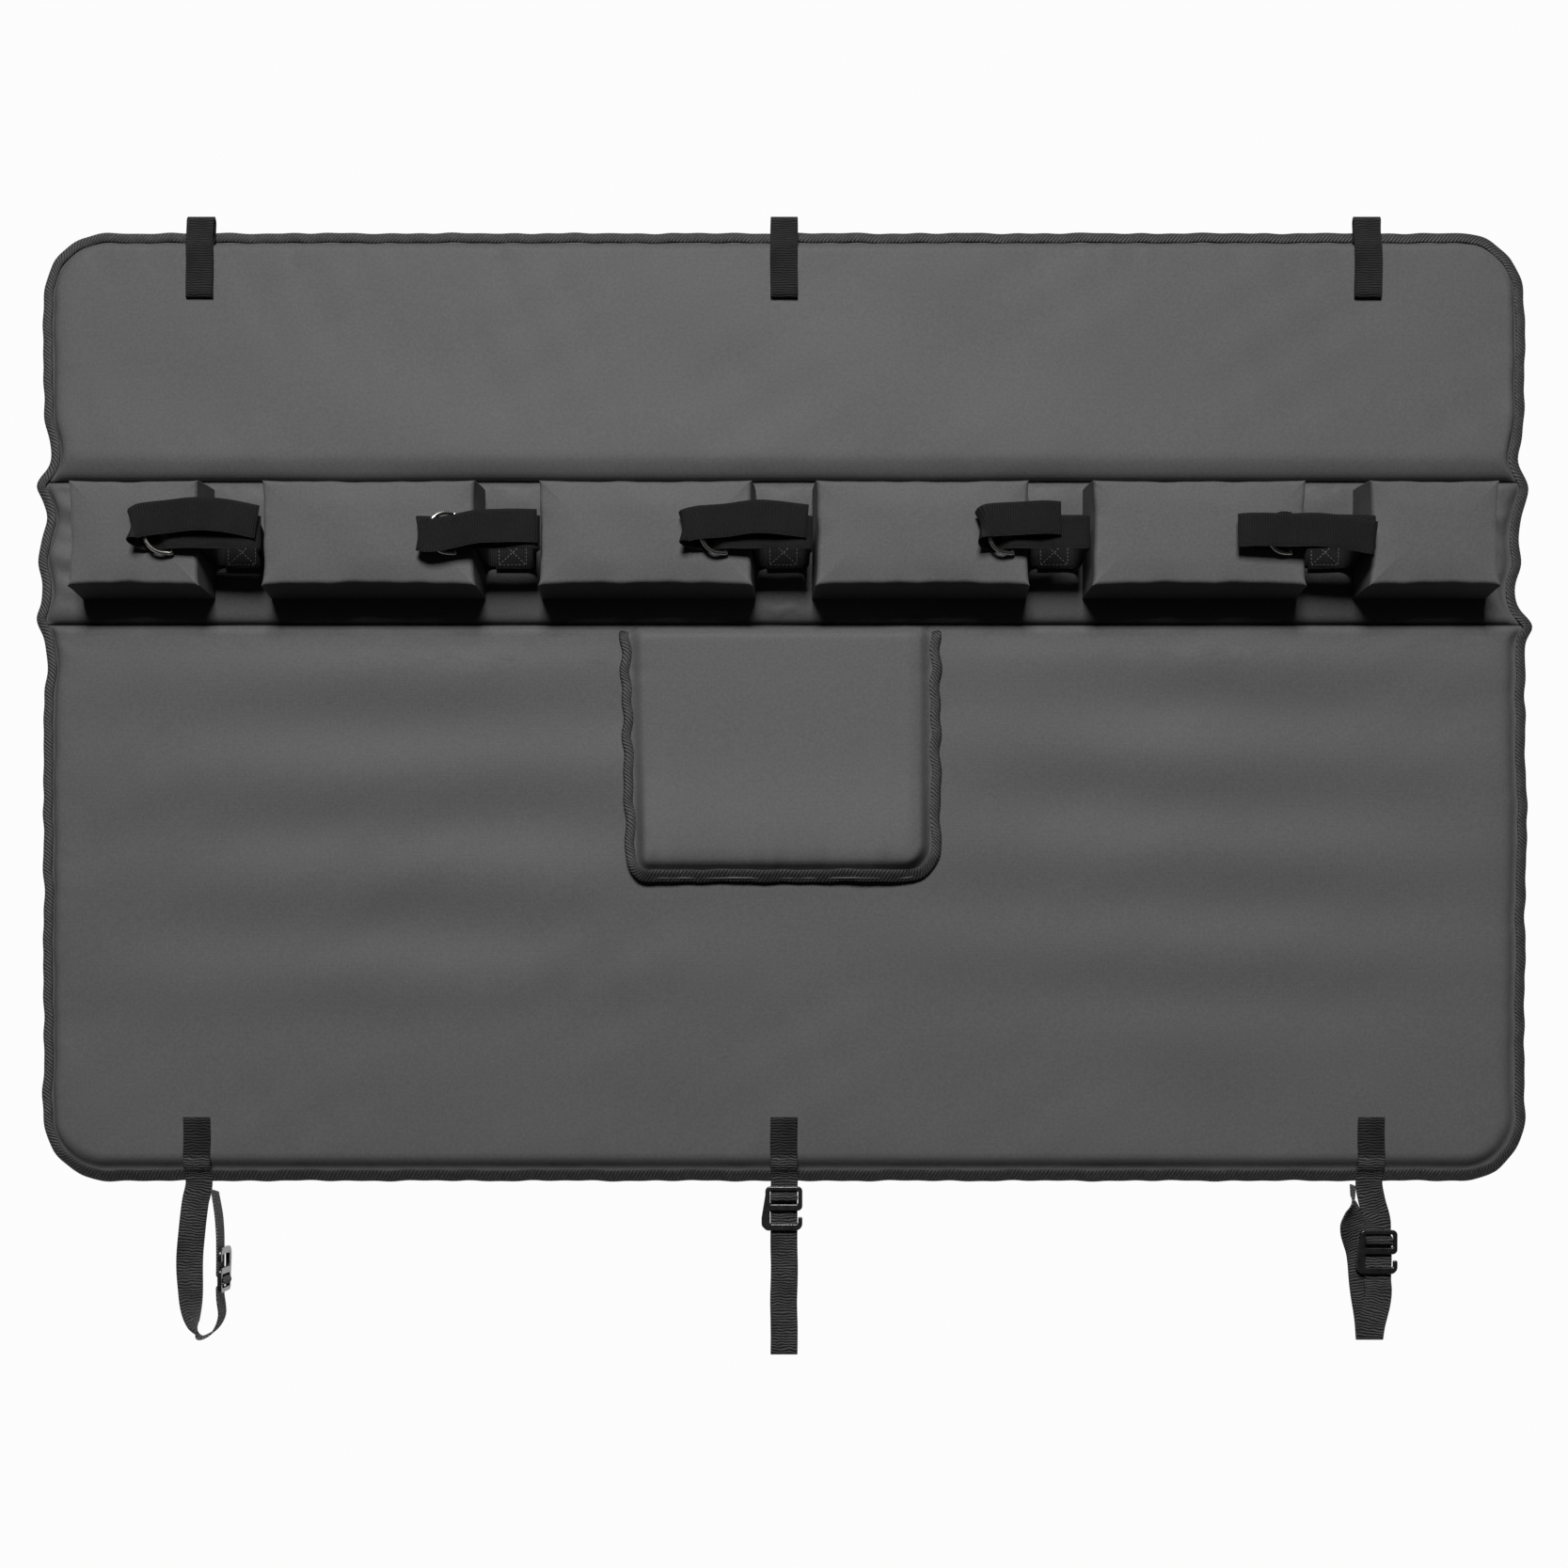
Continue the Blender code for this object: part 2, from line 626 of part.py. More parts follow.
def bike_strap(name, centre, fold, ring_x, bulge_x, tail, band):
    """Bike strap: up from its patch, over to the left through the ring and back over itself."""
    ring_end = ring_x - RING_RUN
    far = RING_SEAT + RING_RISE
    top = far + RING_WIRE / 2 + 2 * WEBBING_LIFT
    leg = centre + CRADLE_WIDTH / 2 - LEG_GAP
    over = OVER_RING + SLACK
    double = WEBBING + 2 * CLEARANCE
    left_band, middle_band, right_band = band
    path = [
        (centre - PATCH_LENGTH / 2, PATCH_SHIFT, STRAP_Z),
        (centre + PATCH_LENGTH / 2 - 5 * SLACK, PATCH_SHIFT, STRAP_Z),
        (centre + PATCH_LENGTH / 2 + SLACK, PATCH_SHIFT, STRAP_Z + 1.6 * SLACK),
        (leg - 1.5 * SLACK, PATCH_SHIFT, STRAP_Z + 9 * SLACK),
        (leg, RING_SHIFT, BLOCK_TOP - 12 * SLACK),
        (bulge_x, RING_SHIFT, BLOCK_TOP + 7 * SLACK),
        (bulge_x - 10 * SLACK, RING_SHIFT, over + SLACK),
        (centre, RING_SHIFT, over),
        (ring_x + 2 * SLACK, RING_SHIFT, OVER_RING + CLEARANCE),
        (ring_x - 0.7 * OVER_WRAP, RING_SHIFT, RING_SEAT + 0.85 * OVER_WRAP),
        (ring_x - 1.6 * OVER_WRAP, RING_SHIFT, RING_SEAT + 0.25 * OVER_WRAP),
        (ring_x - 2.5 * OVER_WRAP, RING_SHIFT, RING_SEAT - 0.1 * OVER_WRAP),
        (ring_end, RING_SHIFT, RING_SEAT),
        (fold, (RING_SHIFT + left_band) / 2, far - CLEARANCE),
        (ring_end, left_band, top),
        (ring_x, (left_band + middle_band) / 2, OVER_RING + WEBBING + double + STRAP_ARCH / 2),
        (centre - 20 * SLACK, middle_band, over + double + STRAP_ARCH),
        (tail, right_band, over + SLACK + double),
    ]
    stations = smooth_path([(*point, *FLAT_ALONG_Y) for point in path], 2)
    webbing(name, stations, BIKE_STRAP_WIDTH)


for number, (centre, reach) in enumerate(zip(CRADLE_CENTRES, BIKE_STRAPS), 1):
    fold, ring, bulge_x, tail, band = reach
    wall, far_wall = centre - CRADLE_WIDTH / 2, centre + CRADLE_WIDTH / 2
    bike_ring(f"strap_ring_{number}", wall - ring)
    ring_keeper(f"ring_keeper_{number}", wall, wall - ring)
    bike_strap(
        f"bike_strap_{number}", centre, wall - fold, wall - ring, far_wall + bulge_x,
        far_wall + tail, band,
    )


# Loops on the top edge

PATCH_Z = PANEL_TOP + WEBBING_LIFT
EDGE_Z = BINDING_TOP + WEBBING_LIFT
SHOULDER_START = FLANGE_INSET + SHOULDER


def over_edge(edge, direction):
    """Webbing from a panel's flat top down its shoulder and out over the binding."""
    drop = PATCH_Z - EDGE_Z
    return [
        (edge - direction * (SHOULDER_START + 2 * SLACK), PATCH_Z),
        (edge - direction * (FLANGE_INSET + 0.5 * SHOULDER), PATCH_Z - 0.06 * drop),
        (edge - direction * (FLANGE_INSET + 0.15 * SHOULDER), PATCH_Z - 0.30 * drop),
        (edge - direction * (FLANGE_INSET - 0.10 * SHOULDER), PATCH_Z - 0.65 * drop),
        (edge - direction * 0.5 * BINDING_WIDTH, PATCH_Z - 0.95 * drop),
        (edge, EDGE_Z),
    ]


def top_loop(name, x):
    """Loop of doubled webbing, sewn down at both its ends and reaching past the edge."""
    below = over_edge(PAD_HIGH, 1.0)
    tip = PAD_HIGH + LOOP_REACH
    sewn = PAD_HIGH - SHOULDER_START - LOOP_SEWN_LENGTH
    layer = WEBBING + CLEARANCE
    path = [(sewn, PATCH_Z)] + below
    back = tip - 4 * SLACK
    path += [(back, EDGE_Z - 1.2 * SLACK), (tip, EDGE_Z + LOOP_EYE / 3), (back, EDGE_Z + LOOP_EYE)]
    path += [(PAD_HIGH, EDGE_Z + LOOP_EYE + CLEARANCE)]
    path += [(y, z + layer + CLEARANCE) for y, z in (below[1], below[0])]
    path += [(sewn, PATCH_Z + layer)]
    stations = smooth_path([(x, y, z, *FLAT_ALONG_X) for y, z in path], 2)
    webbing(name, stations, EDGE_STRAP_WIDTH)


LOOP_SPREAD = PAD_WIDTH / 2 - LOOP_INSET
for number, x in enumerate((-LOOP_SPREAD, 0.0, LOOP_SPREAD), 1):
    top_loop(f"top_loop_{number}", x)


# Hooks of the tailgate straps

SLOT_HALF = EDGE_STRAP_WIDTH / 2 + HOOK_SLACK
HOOK_RIGHT = SLOT_HALF + HOOK_SIDE
HOOK_LEFT = -SLOT_HALF - HOOK_SPINE
SLOT_LOW = -HOOK_TOP_BAR - HOOK_SLOT
MOUTH_TOP = SLOT_LOW - HOOK_MIDDLE_BAR
MOUTH_LOW = MOUTH_TOP - HOOK_SLOT
HOOK_END = MOUTH_LOW - HOOK_MIDDLE_BAR
CROSSBAR_Y = -HOOK_TOP_BAR - HOOK_SLOT / 2


def hook_plate(name):
    """Cast plate in its own frame: a closed slot above, and an open one with a hooked tip."""
    step = HOOK_LEFT + HOOK_STEP
    tip = MOUTH_LOW + HOOK_TIP
    outside = rounded([
        (step, 0.0, HOOK_ROUND),
        (step, -HOOK_TOP_BAR - HOOK_STEP, HOOK_WAIST_ROUND),
        (HOOK_LEFT, MOUTH_TOP - HOOK_TIP, HOOK_WAIST_ROUND),
        (HOOK_LEFT, HOOK_END + HOOK_ROUND, HOOK_ROUND),
        (HOOK_LEFT + HOOK_ROUND, HOOK_END, HOOK_ROUND),
        (HOOK_RIGHT, HOOK_END, HOOK_TIP),
        (HOOK_RIGHT, tip, SLOT_ROUND),
        (SLOT_HALF, tip, SLOT_ROUND),
        (SLOT_HALF, MOUTH_LOW, SLOT_ROUND),
        (-SLOT_HALF, MOUTH_LOW, SLOT_ROUND),
        (-SLOT_HALF, MOUTH_TOP, SLOT_ROUND),
        (HOOK_RIGHT, MOUTH_TOP, HOOK_ROUND),
        (HOOK_RIGHT, 0.0, HOOK_ROUND),
    ])
    slot = rounded([
        (-SLOT_HALF, -HOOK_TOP_BAR, SLOT_ROUND),
        (SLOT_HALF, -HOOK_TOP_BAR, SLOT_ROUND),
        (SLOT_HALF, SLOT_LOW, SLOT_ROUND),
        (-SLOT_HALF, SLOT_LOW, SLOT_ROUND),
    ])
    made = poly_curve(name, [outside, slot], pad)
    made.data.fill_mode = "BOTH"
    made.data.extrude = HOOK_THICKNESS / 2 - HOOK_EDGE
    made.data.bevel_depth = HOOK_EDGE
    made.data.bevel_resolution = 0
    made.data.offset = -HOOK_EDGE
    made.data.materials.append(BLACK_METAL)
    return made


def hook_crossbar(name):
    """Round bar across the closed slot, in the hook's frame."""
    bm = bmesh.new()
    length = 2 * (SLOT_HALF - CLEARANCE)
    turned = Matrix.Translation((0.0, CROSSBAR_Y, 0.0)) @ Matrix.Rotation(math.pi / 2, 4, "Y")
    bmesh.ops.create_cone(
        bm, cap_ends=True, segments=12, radius1=HOOK_BAR / 2, radius2=HOOK_BAR / 2,
        depth=length, matrix=turned,
    )
    mesh = bpy.data.meshes.new(name)
    bm.to_mesh(mesh)
    bm.free()
    return place(name, mesh, BLACK_METAL)


def threaded(frame, roll):
    """Stations of webbing woven through a hook, from the side of its closed slot."""
    under = -HOOK_THICKNESS / 2 - WEBBING_LIFT - CLEARANCE
    over = HOOK_BAR / 2 + WEBBING_LIFT + CLEARANCE / 3
    half_gap = (HOOK_SLOT - HOOK_BAR) / 4
    rise = [
        (HOOK_SLOT / 2, under - CLEARANCE / 2),
        (HOOK_SLOT / 2 - 0.8 * half_gap, 0.75 * under),
        (HOOK_BAR / 2 + 0.8 * half_gap, 0.1 * under),
        (0.74 * over, 0.74 * over),
    ]
    path = [(0.003, under)]
    path += [(CROSSBAR_Y + run, height) for run, height in rise]
    path += [(CROSSBAR_Y, over)]
    path += [(CROSSBAR_Y - run, height) for run, height in reversed(rise)]
    path += [(MOUTH_LOW, under), (HOOK_END - 0.004, under)]
    return [(*(frame @ Vector((0.0, y, z))), roll, 0.0) for y, z in path]


def tailgate_strap(number, x, before, frame, roll, after):
    """Strap sewn to the lower panel, over its edge and through its hook; the tail doubles back."""
    patch = PAD_LOW + SHOULDER_START + STRAP_SEWN_LENGTH
    path = [(x, patch, PATCH_Z, *FLAT_ALONG_X)]
    path += [(x, y, z, *FLAT_ALONG_X) for y, z in over_edge(PAD_LOW, -1.0)]
    path += before + threaded(frame, roll) + after
    webbing(f"tailgate_strap_{number}", smooth_path(path, 2), EDGE_STRAP_WIDTH)
    for made in (hook_plate(f"strap_hook_{number}"), hook_crossbar(f"hook_crossbar_{number}")):
        made.matrix_world = frame


def hanging(x, hang, rows):
    """Stations of a tailgate strap from rows of how far across, how far down, z and roll.

    Across is in widths of the strap from its sewn end, and down is a share of its hang.
    """
    return [
        (x + across * EDGE_STRAP_WIDTH, PAD_LOW - share * hang, z, math.radians(roll), 0.0)
        for across, share, z, roll in rows
    ]


STRAP_SPREAD = PAD_WIDTH / 2 - STRAP_INSET
FLOOR_LAYER = WEBBING_LIFT
SECOND_LAYER = FLOOR_LAYER + WEBBING + CLEARANCE
HOOK_OVER_STRAP = HOOK_THICKNESS / 2 + WEBBING_LIFT + CLEARANCE
ON_EDGE = EDGE_STRAP_WIDTH / 2

# Left strap: it rolls onto its edge at the bottom and comes back up beside itself
x = -STRAP_SPREAD
standing = SLOT_HALF + HOOK_SPINE + CLEARANCE
frame = Matrix((
    (0.0, 0.0, 1.0, x + 1.08 * EDGE_STRAP_WIDTH),
    (0.0, -1.0, 0.0, PAD_LOW - LEFT_HOOK_DROP),
    (1.0, 0.0, 0.0, standing),
    (0.0, 0.0, 0.0, 1.0),
))
tailgate_strap(
    1, x,
    hanging(x, LEFT_HANG, [
        (-0.16, 0.14, SECOND_LAYER + 1.15 * SLACK, 0),
        (-0.36, 0.49, SECOND_LAYER + 0.65 * SLACK, 0),
        (-0.32, 0.74, SECOND_LAYER + 3.15 * SLACK, 15),
        (-0.12, 0.93, ON_EDGE, 50),
        (0.24, 1.00, ON_EDGE + 3 * SLACK, 75),
        (0.72, 0.957, ON_EDGE + 6 * SLACK, 85),
        (0.98, 0.845, standing - 3 * SLACK, 90),
    ]),
    frame, math.radians(90),
    hanging(x, LEFT_HANG, [
        (0.88, 0.246, ON_EDGE + 6 * SLACK, 90),
        (0.68, 0.056, ON_EDGE + 2 * SLACK, 88),
    ]),
)

# Centre strap: it folds under itself and its end lies on the floor
x = 0.0
frame = Matrix.Translation((x, PAD_LOW - CENTRE_HOOK_DROP, EDGE_Z + HOOK_OVER_STRAP))
tailgate_strap(
    2, x,
    [],
    frame, 0.0,
    hanging(x, CENTRE_HANG, [
        (0.0, 0.500, SECOND_LAYER + SLACK, 0),
        (0.0, 0.925, SECOND_LAYER + 2.5 * SLACK, 0),
        (0.0, 0.981, SECOND_LAYER + 1.2 * SLACK, 0),
        (0.0, 1.000, SECOND_LAYER - 0.6 * SLACK, 0),
        (0.0, 0.975, FLOOR_LAYER + 0.2 * SLACK, 0),
        (0.0, 0.906, FLOOR_LAYER, 0),
        (0.0, 0.075, FLOOR_LAYER, 0),
    ]),
)

# Right strap: it folds under itself to the left and its end stands on edge
x = STRAP_SPREAD
across_hook = 0.36 * EDGE_STRAP_WIDTH
frame = Matrix.Translation(
    (x + across_hook, PAD_LOW - RIGHT_HOOK_DROP, SECOND_LAYER + HOOK_OVER_STRAP)
)
tailgate_strap(
    3, x,
    hanging(x, RIGHT_HANG, [(0.12, 0.123, SECOND_LAYER + 1.35 * SLACK, 0)]),
    frame, 0.0,
    hanging(x, RIGHT_HANG, [
        (0.36, 0.753, SECOND_LAYER + 3 * SLACK, 0),
        (0.24, 0.938, SECOND_LAYER + 5 * SLACK, 0),
        (0.04, 1.000, SECOND_LAYER + 2 * SLACK, 0),
        (-0.12, 0.945, FLOOR_LAYER, 0),
        (-0.16, 0.616, FLOOR_LAYER, 0),
        (-0.32, 0.445, FLOOR_LAYER + CLEARANCE, 0),
        (-0.64, 0.274, 0.25 * EDGE_STRAP_WIDTH, -20),
        (-0.68, 0.178, 0.44 * EDGE_STRAP_WIDTH, -50),
        (-0.68, 0.096, ON_EDGE + 0.8 * SLACK, -82),
        (-0.68, 0.021, ON_EDGE + 0.8 * SLACK, -85),
    ]),
)
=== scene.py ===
"""Looks of a padded tailgate cover for carrying bikes, laid flat and seen from straight above."""

import math

import bmesh
import bpy
import numpy as np
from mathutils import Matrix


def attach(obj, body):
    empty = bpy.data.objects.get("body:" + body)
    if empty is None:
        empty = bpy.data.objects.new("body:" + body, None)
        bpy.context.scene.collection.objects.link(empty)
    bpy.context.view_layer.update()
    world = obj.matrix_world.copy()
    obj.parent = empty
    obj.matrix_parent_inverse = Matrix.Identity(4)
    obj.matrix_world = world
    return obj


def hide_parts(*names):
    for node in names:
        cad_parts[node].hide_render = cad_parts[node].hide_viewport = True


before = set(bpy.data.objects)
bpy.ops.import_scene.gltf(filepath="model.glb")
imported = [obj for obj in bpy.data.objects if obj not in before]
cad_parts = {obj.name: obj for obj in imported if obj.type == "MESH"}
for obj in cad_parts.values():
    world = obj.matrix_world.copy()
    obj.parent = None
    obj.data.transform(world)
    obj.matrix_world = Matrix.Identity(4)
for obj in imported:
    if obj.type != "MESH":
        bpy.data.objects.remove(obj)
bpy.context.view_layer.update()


# The floor and the light round the pad.  It lies on a white floor under one large lamp from
# beyond its upper edge, which leaves the lower walls of its blocks in the dark.

FLOOR_GREY, PAPER_SHARE = "#6a6a6a", 0.97
FLOOR_HALF, FLOOR_DROP = 6.0, 0.0004
LAMP_PLACE, LAMP_TARGET = (-0.25, 2.55, 4.40), (0.0, -0.15, 0.0)
LAMP_SIZE, LAMP_POWER = 1.5, 335.0
SKY_LEVEL = 0.02
CAMERA_PLACE, CAMERA_SHIFT = (0.0, -0.4456, 2.02), 0.16
LENS, SENSOR, NEAR_CLIP = 50.0, 36.0, 0.05
WHITE = (1, 1, 1, 1)


def linear(code):
    """sRGB hex to linear colour: each channel divided by 12.92, or raised to the power 2.4."""
    channel = np.array([int(code[k:k + 2], 16) for k in (1, 3, 5)]) / 255
    low, high = channel / 12.92, ((channel + 0.055) / 1.055) ** 2.4
    return (*np.where(channel <= 0.04045, low, high), 1.0)


def feed(tree, made, inputs):
    """Set a node's inputs to values, or link them from sockets."""
    for key, value in inputs.items():
        if isinstance(value, bpy.types.NodeSocket):
            tree.links.new(value, made.inputs[key])
        else:
            made.inputs[key].default_value = value
    return made


def node(tree, kind, inputs=None, **settings):
    """Add a node with its settings, and feed its inputs."""
    made = tree.nodes.new(kind)
    for key, value in settings.items():
        setattr(made, key, value)
    return feed(tree, made, inputs or {})


def combine(tree, operation, *values, **settings):
    """Result of a Math node on sockets or numbers."""
    made = node(tree, "ShaderNodeMath", dict(enumerate(values)), operation=operation, **settings)
    return made.outputs[0]


def mapped(tree, value, low, high, start=0.0, end=1.0):
    """A value that runs from start to end, mapped to run from low to high."""
    return node(tree, "ShaderNodeMapRange", {"Value": value, "From Min": start, "From Max": end,
                                             "To Min": low, "To Max": high}).outputs[0]


def new_finish(name):
    """An empty material with its tree and its Principled shader."""
    material = bpy.data.materials.new(name)
    material.use_nodes = True
    return material, material.node_tree, material.node_tree.nodes["Principled BSDF"]


def add(name, data):
    """Put an object with this data in the scene."""
    made = bpy.data.objects.new(name, data)
    bpy.context.scene.collection.objects.link(made)
    return made


# Matt paper: what the camera and the metal see of it is nearly all its own white, and its
# grey keeps it from throwing light back on the pad's sides
paper, tree, shader = new_finish("white_paper")
feed(tree, shader, {"Base Color": linear(FLOOR_GREY), "Roughness": 0.9})
rays = node(tree, "ShaderNodeLightPath").outputs
seen = combine(tree, "MAXIMUM", rays["Is Camera Ray"], rays["Is Glossy Ray"])
seen = combine(tree, "MAXIMUM", seen, rays["Is Transmission Ray"])
white = node(tree, "ShaderNodeEmission", {"Color": WHITE, "Strength": 1.0})
mixed = node(tree, "ShaderNodeMixShader", {0: combine(tree, "MULTIPLY", seen, PAPER_SHARE),
                                           1: shader.outputs[0], 2: white.outputs[0]})
feed(tree, tree.nodes["Material Output"], {"Surface": mixed.outputs[0]})

floor_mesh = bpy.data.meshes.new("floor")
floor_mesh.from_pydata([(x * FLOOR_HALF, y * FLOOR_HALF, 0)
                        for x, y in ((-1, -1), (1, -1), (1, 1), (-1, 1))], [], [(0, 1, 2, 3)])
floor_mesh.materials.append(paper)
floor = add("floor", floor_mesh)
floor.location.z = -FLOOR_DROP

lamp = bpy.data.lights.new("key_lamp", "AREA")
lamp.shape, lamp.size, lamp.energy = "SQUARE", LAMP_SIZE, LAMP_POWER
key = add("key_lamp", lamp)
key.location = LAMP_PLACE
east, north, up = np.array(LAMP_TARGET) - np.array(LAMP_PLACE)
key.rotation_euler = (math.atan2(math.hypot(east, north), -up), 0.0,
                      math.atan2(north, east) - math.pi / 2)

sky = bpy.data.worlds.new("studio")
bpy.context.scene.world = sky
sky.use_nodes = True
tree = sky.node_tree
tree.nodes.clear()
rays = node(tree, "ShaderNodeLightPath").outputs
light = node(tree, "ShaderNodeBackground", {
    "Color": WHITE, "Strength": mapped(tree, rays["Is Camera Ray"], SKY_LEVEL, 1.0)})
node(tree, "ShaderNodeOutputWorld", {"Surface": light.outputs[0]})
bpy.context.scene.view_settings.view_transform = "Standard"

camera_data = bpy.data.cameras.new("camera")
camera_data.lens, camera_data.sensor_width = LENS, SENSOR
camera_data.shift_y, camera_data.clip_start = CAMERA_SHIFT, NEAR_CLIP
camera = add("camera", camera_data)
camera.location = CAMERA_PLACE
bpy.context.scene.camera = camera


# The back of the pad: one plain woven cloth, cut to the pad's outline with a window for the
# tailgate's handle, and sewn to the covers under the edge tape.

WIDTH, LOW, HIGH, SEAM, CORNER = 1.372, -0.581, 0.297, 0.066, 0.060
WINDOW_X, WINDOW_LOW, WINDOW_TOP = -0.0035, -0.250, -0.120
WINDOW_HALF, WINDOW_CORNER = 0.100, 0.025
# How far in from the edges the cloth starts and lies down, and its height at both
TUCK, LAID = 0.0035, 0.016
BACK_HELD, BACK_LAID, HEM_RINGS = 0.0012, 0.0002, 5
# How far each side stands out or in, at what y and over what length
RIM_WAVES = {
    1: ((0.005, 0.064, 0.012), (-0.006, 0.088, 0.020), (-0.005, 0.014, 0.022),
        (-0.009, -0.034, 0.020), (0.008, -0.068, 0.011), (0.002, -0.25, 0.09)),
    -1: ((0.008, 0.063, 0.011), (-0.007, 0.090, 0.024), (0.005, -0.006, 0.020),
         (-0.003, 0.034, 0.012), (0.007, -0.060, 0.013), (-0.003, -0.10, 0.03)),
}


def ripple(along, lengths, seed):
    """An uneven wave of height about 1: sines of these lengths, each from a seeded start."""
    starts = np.random.default_rng(seed).uniform(0, 2 * np.pi, len(lengths))
    waves = [np.sin(2 * np.pi * along / length + start) for length, start in zip(lengths, starts)]
    return sum(waves) / math.sqrt(len(lengths))


def rim(sign, y):
    """Half the pad's width at y on one side: half its width, and a bell curve for each wave."""
    reach = np.full(np.shape(y), WIDTH / 2)
    for size, where, length in RIM_WAVES[sign]:
        reach = reach + size * np.exp(-(((y - where) / length) ** 2))
    return reach + 0.0005 * ripple(y, (0.041, 0.071, 0.143), 3 + sign)


def half_line(sign, low, high, low_corner, high_corner, reach, count, middle=0.0):
    """Half of a closed outline, from the middle of its low edge round to its high edge's.

    A straight edge, a quarter circle, the side at its reach for each y, a quarter circle and
    the other edge, with count giving the points of an edge, a corner and a side.
    """
    edge, corner, side = count
    turn = np.linspace(0, np.pi / 2, corner)[:-1]
    y = np.linspace(low + low_corner, high - high_corner, side)
    x = reach(sign, y)
    first, last = x[0] - low_corner, x[-1] - high_corner
    line = np.vstack((
        np.stack((np.linspace(0, first, edge), np.full(edge, low)), 1)[:-1],
        np.stack((first + low_corner * np.sin(turn),
                  low + low_corner * (1 - np.cos(turn))), 1),
        np.stack((x, y), 1)[:-1],
        np.stack((last + high_corner * np.cos(turn),
                  high - high_corner * (1 - np.sin(turn))), 1),
        np.stack((np.linspace(last, 0, edge), np.full(edge, high)), 1),
    ))
    line[:, 0] = line[:, 0] * sign + middle
    return line


def around(right, left):
    """A closed outline, counter-clockwise, from its right and left halves."""
    return np.vstack((right, left[::-1][1:-1]))


def panel_outline(low, high, inset, seam_inset, count):
    """Outline of a panel between two heights: its corners are round at the pad's own edges."""
    ends = [inset if value in (LOW, HIGH) else seam_inset for value in (low, high)]
    corners = [CORNER - inset if value in (LOW, HIGH) else 0.003 for value in (low, high)]
    halves = [
        half_line(sign, low + ends[0], high - ends[1], *corners,
                  lambda side, y: rim(side, y) - inset, count)
        for sign in (1, -1)
    ]
    return around(*halves)


def window_outline(outset, count):
    """Outline of the handle window, moved out into the panel."""
    halves = [
        half_line(sign, WINDOW_LOW - outset, WINDOW_TOP + outset, WINDOW_CORNER + outset,
                  WINDOW_CORNER + outset, lambda side, y: np.full(len(y), WINDOW_HALF + outset),
                  count, WINDOW_X)
        for sign in (1, -1)
    ]
    return around(*halves)


def length_along(line):
    """Distance along a line of points, from its first."""
    steps = np.linalg.norm(np.diff(line, axis=0), axis=1)
    return np.concatenate(((0.0,), np.cumsum(steps)))


def smooth_mesh(name, points, faces, material):
    """A mesh of these points and smooth faces, as an object in the scene."""
    mesh = bpy.data.meshes.new(name)
    mesh.from_pydata(points.reshape(-1, 3).tolist(), [], faces)
    mesh.polygons.foreach_set("use_smooth", np.ones(len(mesh.polygons), bool))
    mesh.materials.append(material)
    return add(name, mesh)


def build(name, points, material, loop=False, ends=False, uv=None, closed=False):
    """Mesh of a grid of points: faces between neighbours, round again where it loops.

    loop joins the last column to the first, closed the last row to the first, and ends fills
    the first and last rows.  uv gives the pattern's place in metres for each grid point, with
    one more column where it loops and one more row where it is closed.
    """
    rows, columns = points.shape[:2]
    index = np.arange(rows * columns).reshape(rows, columns)
    if loop:
        index = np.hstack((index, index[:, :1]))
    if closed:
        index = np.vstack((index, index[:1]))
    corners = (np.s_[:-1, :-1], np.s_[:-1, 1:], np.s_[1:, 1:], np.s_[1:, :-1])
    faces = np.stack([index[cut] for cut in corners], -1).reshape(-1, 4).tolist()
    if ends:
        faces += [index[0, :columns][::-1].tolist(), index[-1, :columns].tolist()]
    made = smooth_mesh(name, points, faces, material)
    if uv is not None:
        place = np.stack([uv[cut] for cut in corners], 2).reshape(-1, 2)
        if ends:
            place = np.vstack((place, uv[0, :columns][::-1], uv[-1, :columns]))
        layer = made.data.uv_layers.new(name="UVMap")
        layer.data.foreach_set("uv", place.ravel().astype(np.float32))
    return made


def weld(made, merge, outwards=True):
    """Merge doubled points, and turn the faces of a closed mesh outwards."""
    shape = bmesh.new()
    shape.from_mesh(made.data)
    bmesh.ops.remove_doubles(shape, verts=shape.verts, dist=merge)
    if outwards:
        bmesh.ops.recalc_face_normals(shape, faces=shape.faces)
    shape.to_mesh(made.data)
    shape.free()


def thicken(made, thickness, offset):
    """Give a sheet its thickness: offset -1 grows it behind its faces, 1 in front of them."""
    wall = made.modifiers.new("thickness", "SOLIDIFY")
    wall.thickness, wall.offset, wall.use_quality_normals = thickness, offset, True


def rings_between(outer, inner, count):
    """Rings of points from one outline to another, evenly spaced."""
    share = np.linspace(0, 1, count)[:, None, None]
    return outer * (1 - share) + inner * share


def noise(tree, place, scale, detail=2.0):
    """Smooth noise over a surface, from 0 to 1."""
    return node(tree, "ShaderNodeTexNoise", {"Vector": place, "Scale": scale,
                                             "Detail": detail}).outputs["Fac"]


def waves(tree, place, scale, direction, inputs=None):
    """Even bands over a surface, one after another in a direction."""
    return node(tree, "ShaderNodeTexWave", {"Vector": place, "Scale": scale, **(inputs or {})},
                bands_direction=direction).outputs["Fac"]


def blend(tree, share, dark, light):
    """A colour between two given as sRGB hex."""
    return node(tree, "ShaderNodeMix", {"Factor": share, "A": linear(dark), "B": linear(light)},
                data_type="RGBA").outputs["Result"]


def bump(tree, height, distance, inputs=None):
    """Normals of a relief of this depth in metres."""
    return node(tree, "ShaderNodeBump", {"Height": height, "Distance": distance,
                                         **(inputs or {})}).outputs[0]


